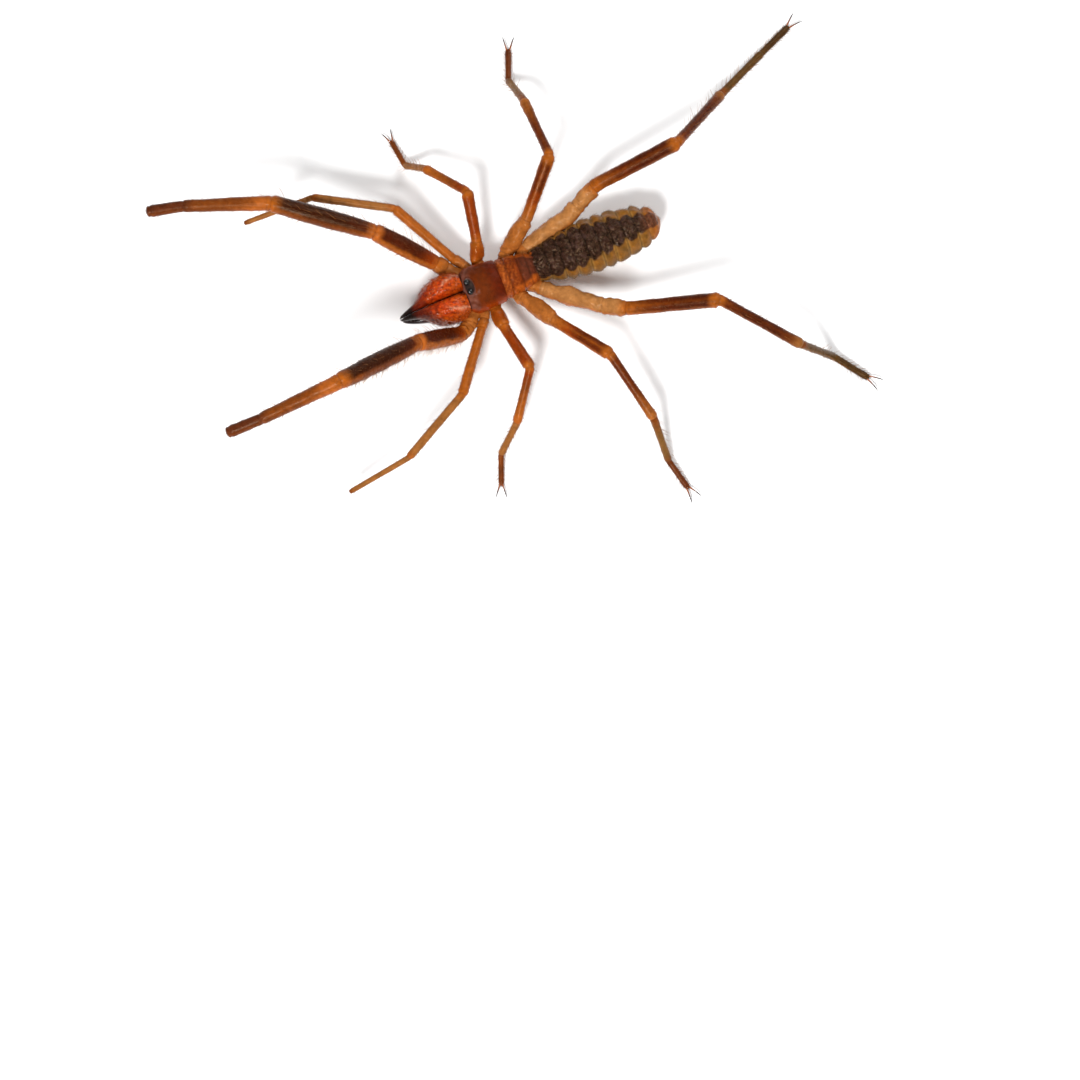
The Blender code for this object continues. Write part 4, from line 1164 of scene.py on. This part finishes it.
def build_skin(material):
    """One skin over the trunk and every limb; returns their grids for the hair."""
    trunk = trunk_grid()
    both = [(kind, word) for kind in LIMBS for word in SIDES_OF]
    limbs = {limb: limb_grid(*limb, number) for number, limb in enumerate(both)}
    nodes = ["head_shield", "thorax", "abdomen"]
    for kind, word in limbs:
        nodes += [f"{kind}_{name}_{word}" for name, *_ in LIMBS[kind]["segments"]]
    grid_piece("skin", [trunk, mound_grid(), *limbs.values()], material, "thorax_cuticle", *nodes)
    return trunk, limbs


def segment_rings(kind, word, names):
    """Which of a limb's rings belong to the named segments."""
    (_, _, _, segment, *_), segments = limb_rings(kind, word)
    return np.isin(segment, [number for number, (name, *_) in enumerate(segments) if name in names])


def place_camera():
    camera = add_object("camera", bpy.data.cameras.new("camera"))
    camera.data.lens = CAMERA_LENS
    camera.data.sensor_width = CAMERA_SENSOR
    camera.location = ORIGIN + np.array(CAMERA_PLACE) * MM
    camera.rotation_euler = (math.radians(90 - CAMERA_ELEVATION), 0, math.radians(CAMERA_AZIMUTH))
    bpy.context.scene.camera = camera


def area_light(name, place, energy, size):
    light = bpy.data.lights.new(name, "AREA")
    light.energy = energy
    light.size = size
    lamp = add_object(name, light)
    lamp.location = place
    lamp.rotation_euler = (-Vector(place)).to_track_quat("-Z", "Y").to_euler()


def place_stage():
    """The floor, the lights and the plain white world."""
    corners = [(x * FLOOR_REACH, y * FLOOR_REACH, 0) for x, y in ((-1, -1), (1, -1), (1, 1), (-1, 1))]
    mesh = bpy.data.meshes.new("floor")
    mesh.from_pydata(corners, [], [(0, 1, 2, 3)])
    material = bpy.data.materials.new("floor")
    material.use_nodes = True
    shader = material.node_tree.nodes["Principled BSDF"]
    fill(shader, {"Base Color": FLOOR_COLOUR, "Roughness": FLOOR_ROUGHNESS})
    mesh.materials.append(material)
    floor = add_object("floor", mesh)
    for light in LIGHTS:
        area_light(*light)
    world = bpy.data.worlds.new("studio")
    world.use_nodes = True
    fill(world.node_tree.nodes["Background"], {"Color": (1, 1, 1, 1), "Strength": WORLD_STRENGTH})
    bpy.context.scene.world = world
    bpy.context.scene.view_settings.view_transform = "Standard"


def underside_weight(side_turn):
    """1 on a limb's underside and on the side that faces the midline, 0 on its back."""
    return step(0.1, 0.8, -np.cos(angles_round(LIMB_SIDES) - side_turn))


def build_coat(trunk, limbs, jaws, hair):
    """Every spine, bristle and fine hair, in pieces of like kind."""
    groups = {name: [] for name in LIMB_COAT}
    spine_lengths = []

    def sow(name, limb, segments, weight=1.0):
        rings = segment_rings(*limb, segments)
        groups[name].append(grid_roots(limbs[limb], rings, LIMB_COAT[name].density, weight))

    for limb, grid in limbs.items():
        kind, word = limb
        names = [name for name, *_ in LIMBS[kind]["segments"]]
        outer = [name for name in names if name not in ("base", "basifemur")]
        palp = kind == "pedipalp"
        sow("hair_pedipalps" if palp else f"hair_legs_{word}", limb, names)
        sow("bristles_pedipalps" if palp else "bristles_legs", limb, outer)
        if palp:
            below = underside_weight(-FRINGE_TURN * SIDES_OF[word])
            sow("fringe_pedipalps", limb, ("femur", "tibia"), below)
        roots, lengths = spine_roots(grid, kind, word)
        groups["spines"].append(roots)
        spine_lengths.append(lengths)
    for name, kind in LIMB_COAT.items():
        lengths = np.concatenate(spine_lengths) if name == "spines" else None
        hair_piece(name, kind, groups[name], hair, lengths)
    head = trunk.places[:, :, 0].mean(axis=1) < ABDOMEN_START
    for (name, kind), rings in zip(TRUNK_COAT.items(), (head, ~head)):
        hair_piece(name, kind, [grid_roots(trunk, rings, kind.density)], hair)
    for name, kind in JAW_COAT.items():
        hands = []
        for grid in jaws.values():
            outer = step(0.25, 0.6, np.abs(grid.places[..., 1]))
            behind_finger = grid.places[:, :, 0].mean(axis=1) > BARE_FINGER
            hands.append(grid_roots(grid, behind_finger, kind.density, outer))
        hair_piece(name, kind, hands, hair)


def main():
    skin = cuticle("skin_cuticle", 0.36, grain_scale=2600, grain_depth=0.09, mottling=0.26, coat=0.02)
    jaw_skin = cuticle("jaw_cuticle", 0.32, grain_scale=2200, grain_depth=0.08, mottling=0.24, coat=0.2)
    horn = plain_tinted("finger_horn", 0.18, variation=0.15)
    gloss = plain_tinted("eye_gloss", 0.06, variation=0.1)
    hair = plain_tinted("bristle", 0.5, variation=0.2, shine=0.08, shine_colour=AMBER_SHINE)
    trunk, limbs = build_skin(skin)
    jaws = build_jaws(jaw_skin, horn)
    build_eyes(gloss)
    claws = [grid for kind in CLAWED for word in SIDES_OF for grid in claw_grids(kind, word)]
    grid_piece("claws", claws, horn, "tarsus_cuticle")
    rackets = [grid for word in SIDES_OF for grid in racket_grids(word)]
    grid_piece("racket_organs", rackets, horn, "limb_pale_cuticle")
    build_coat(trunk, limbs, jaws, hair)
    place_camera()
    place_stage()


main()
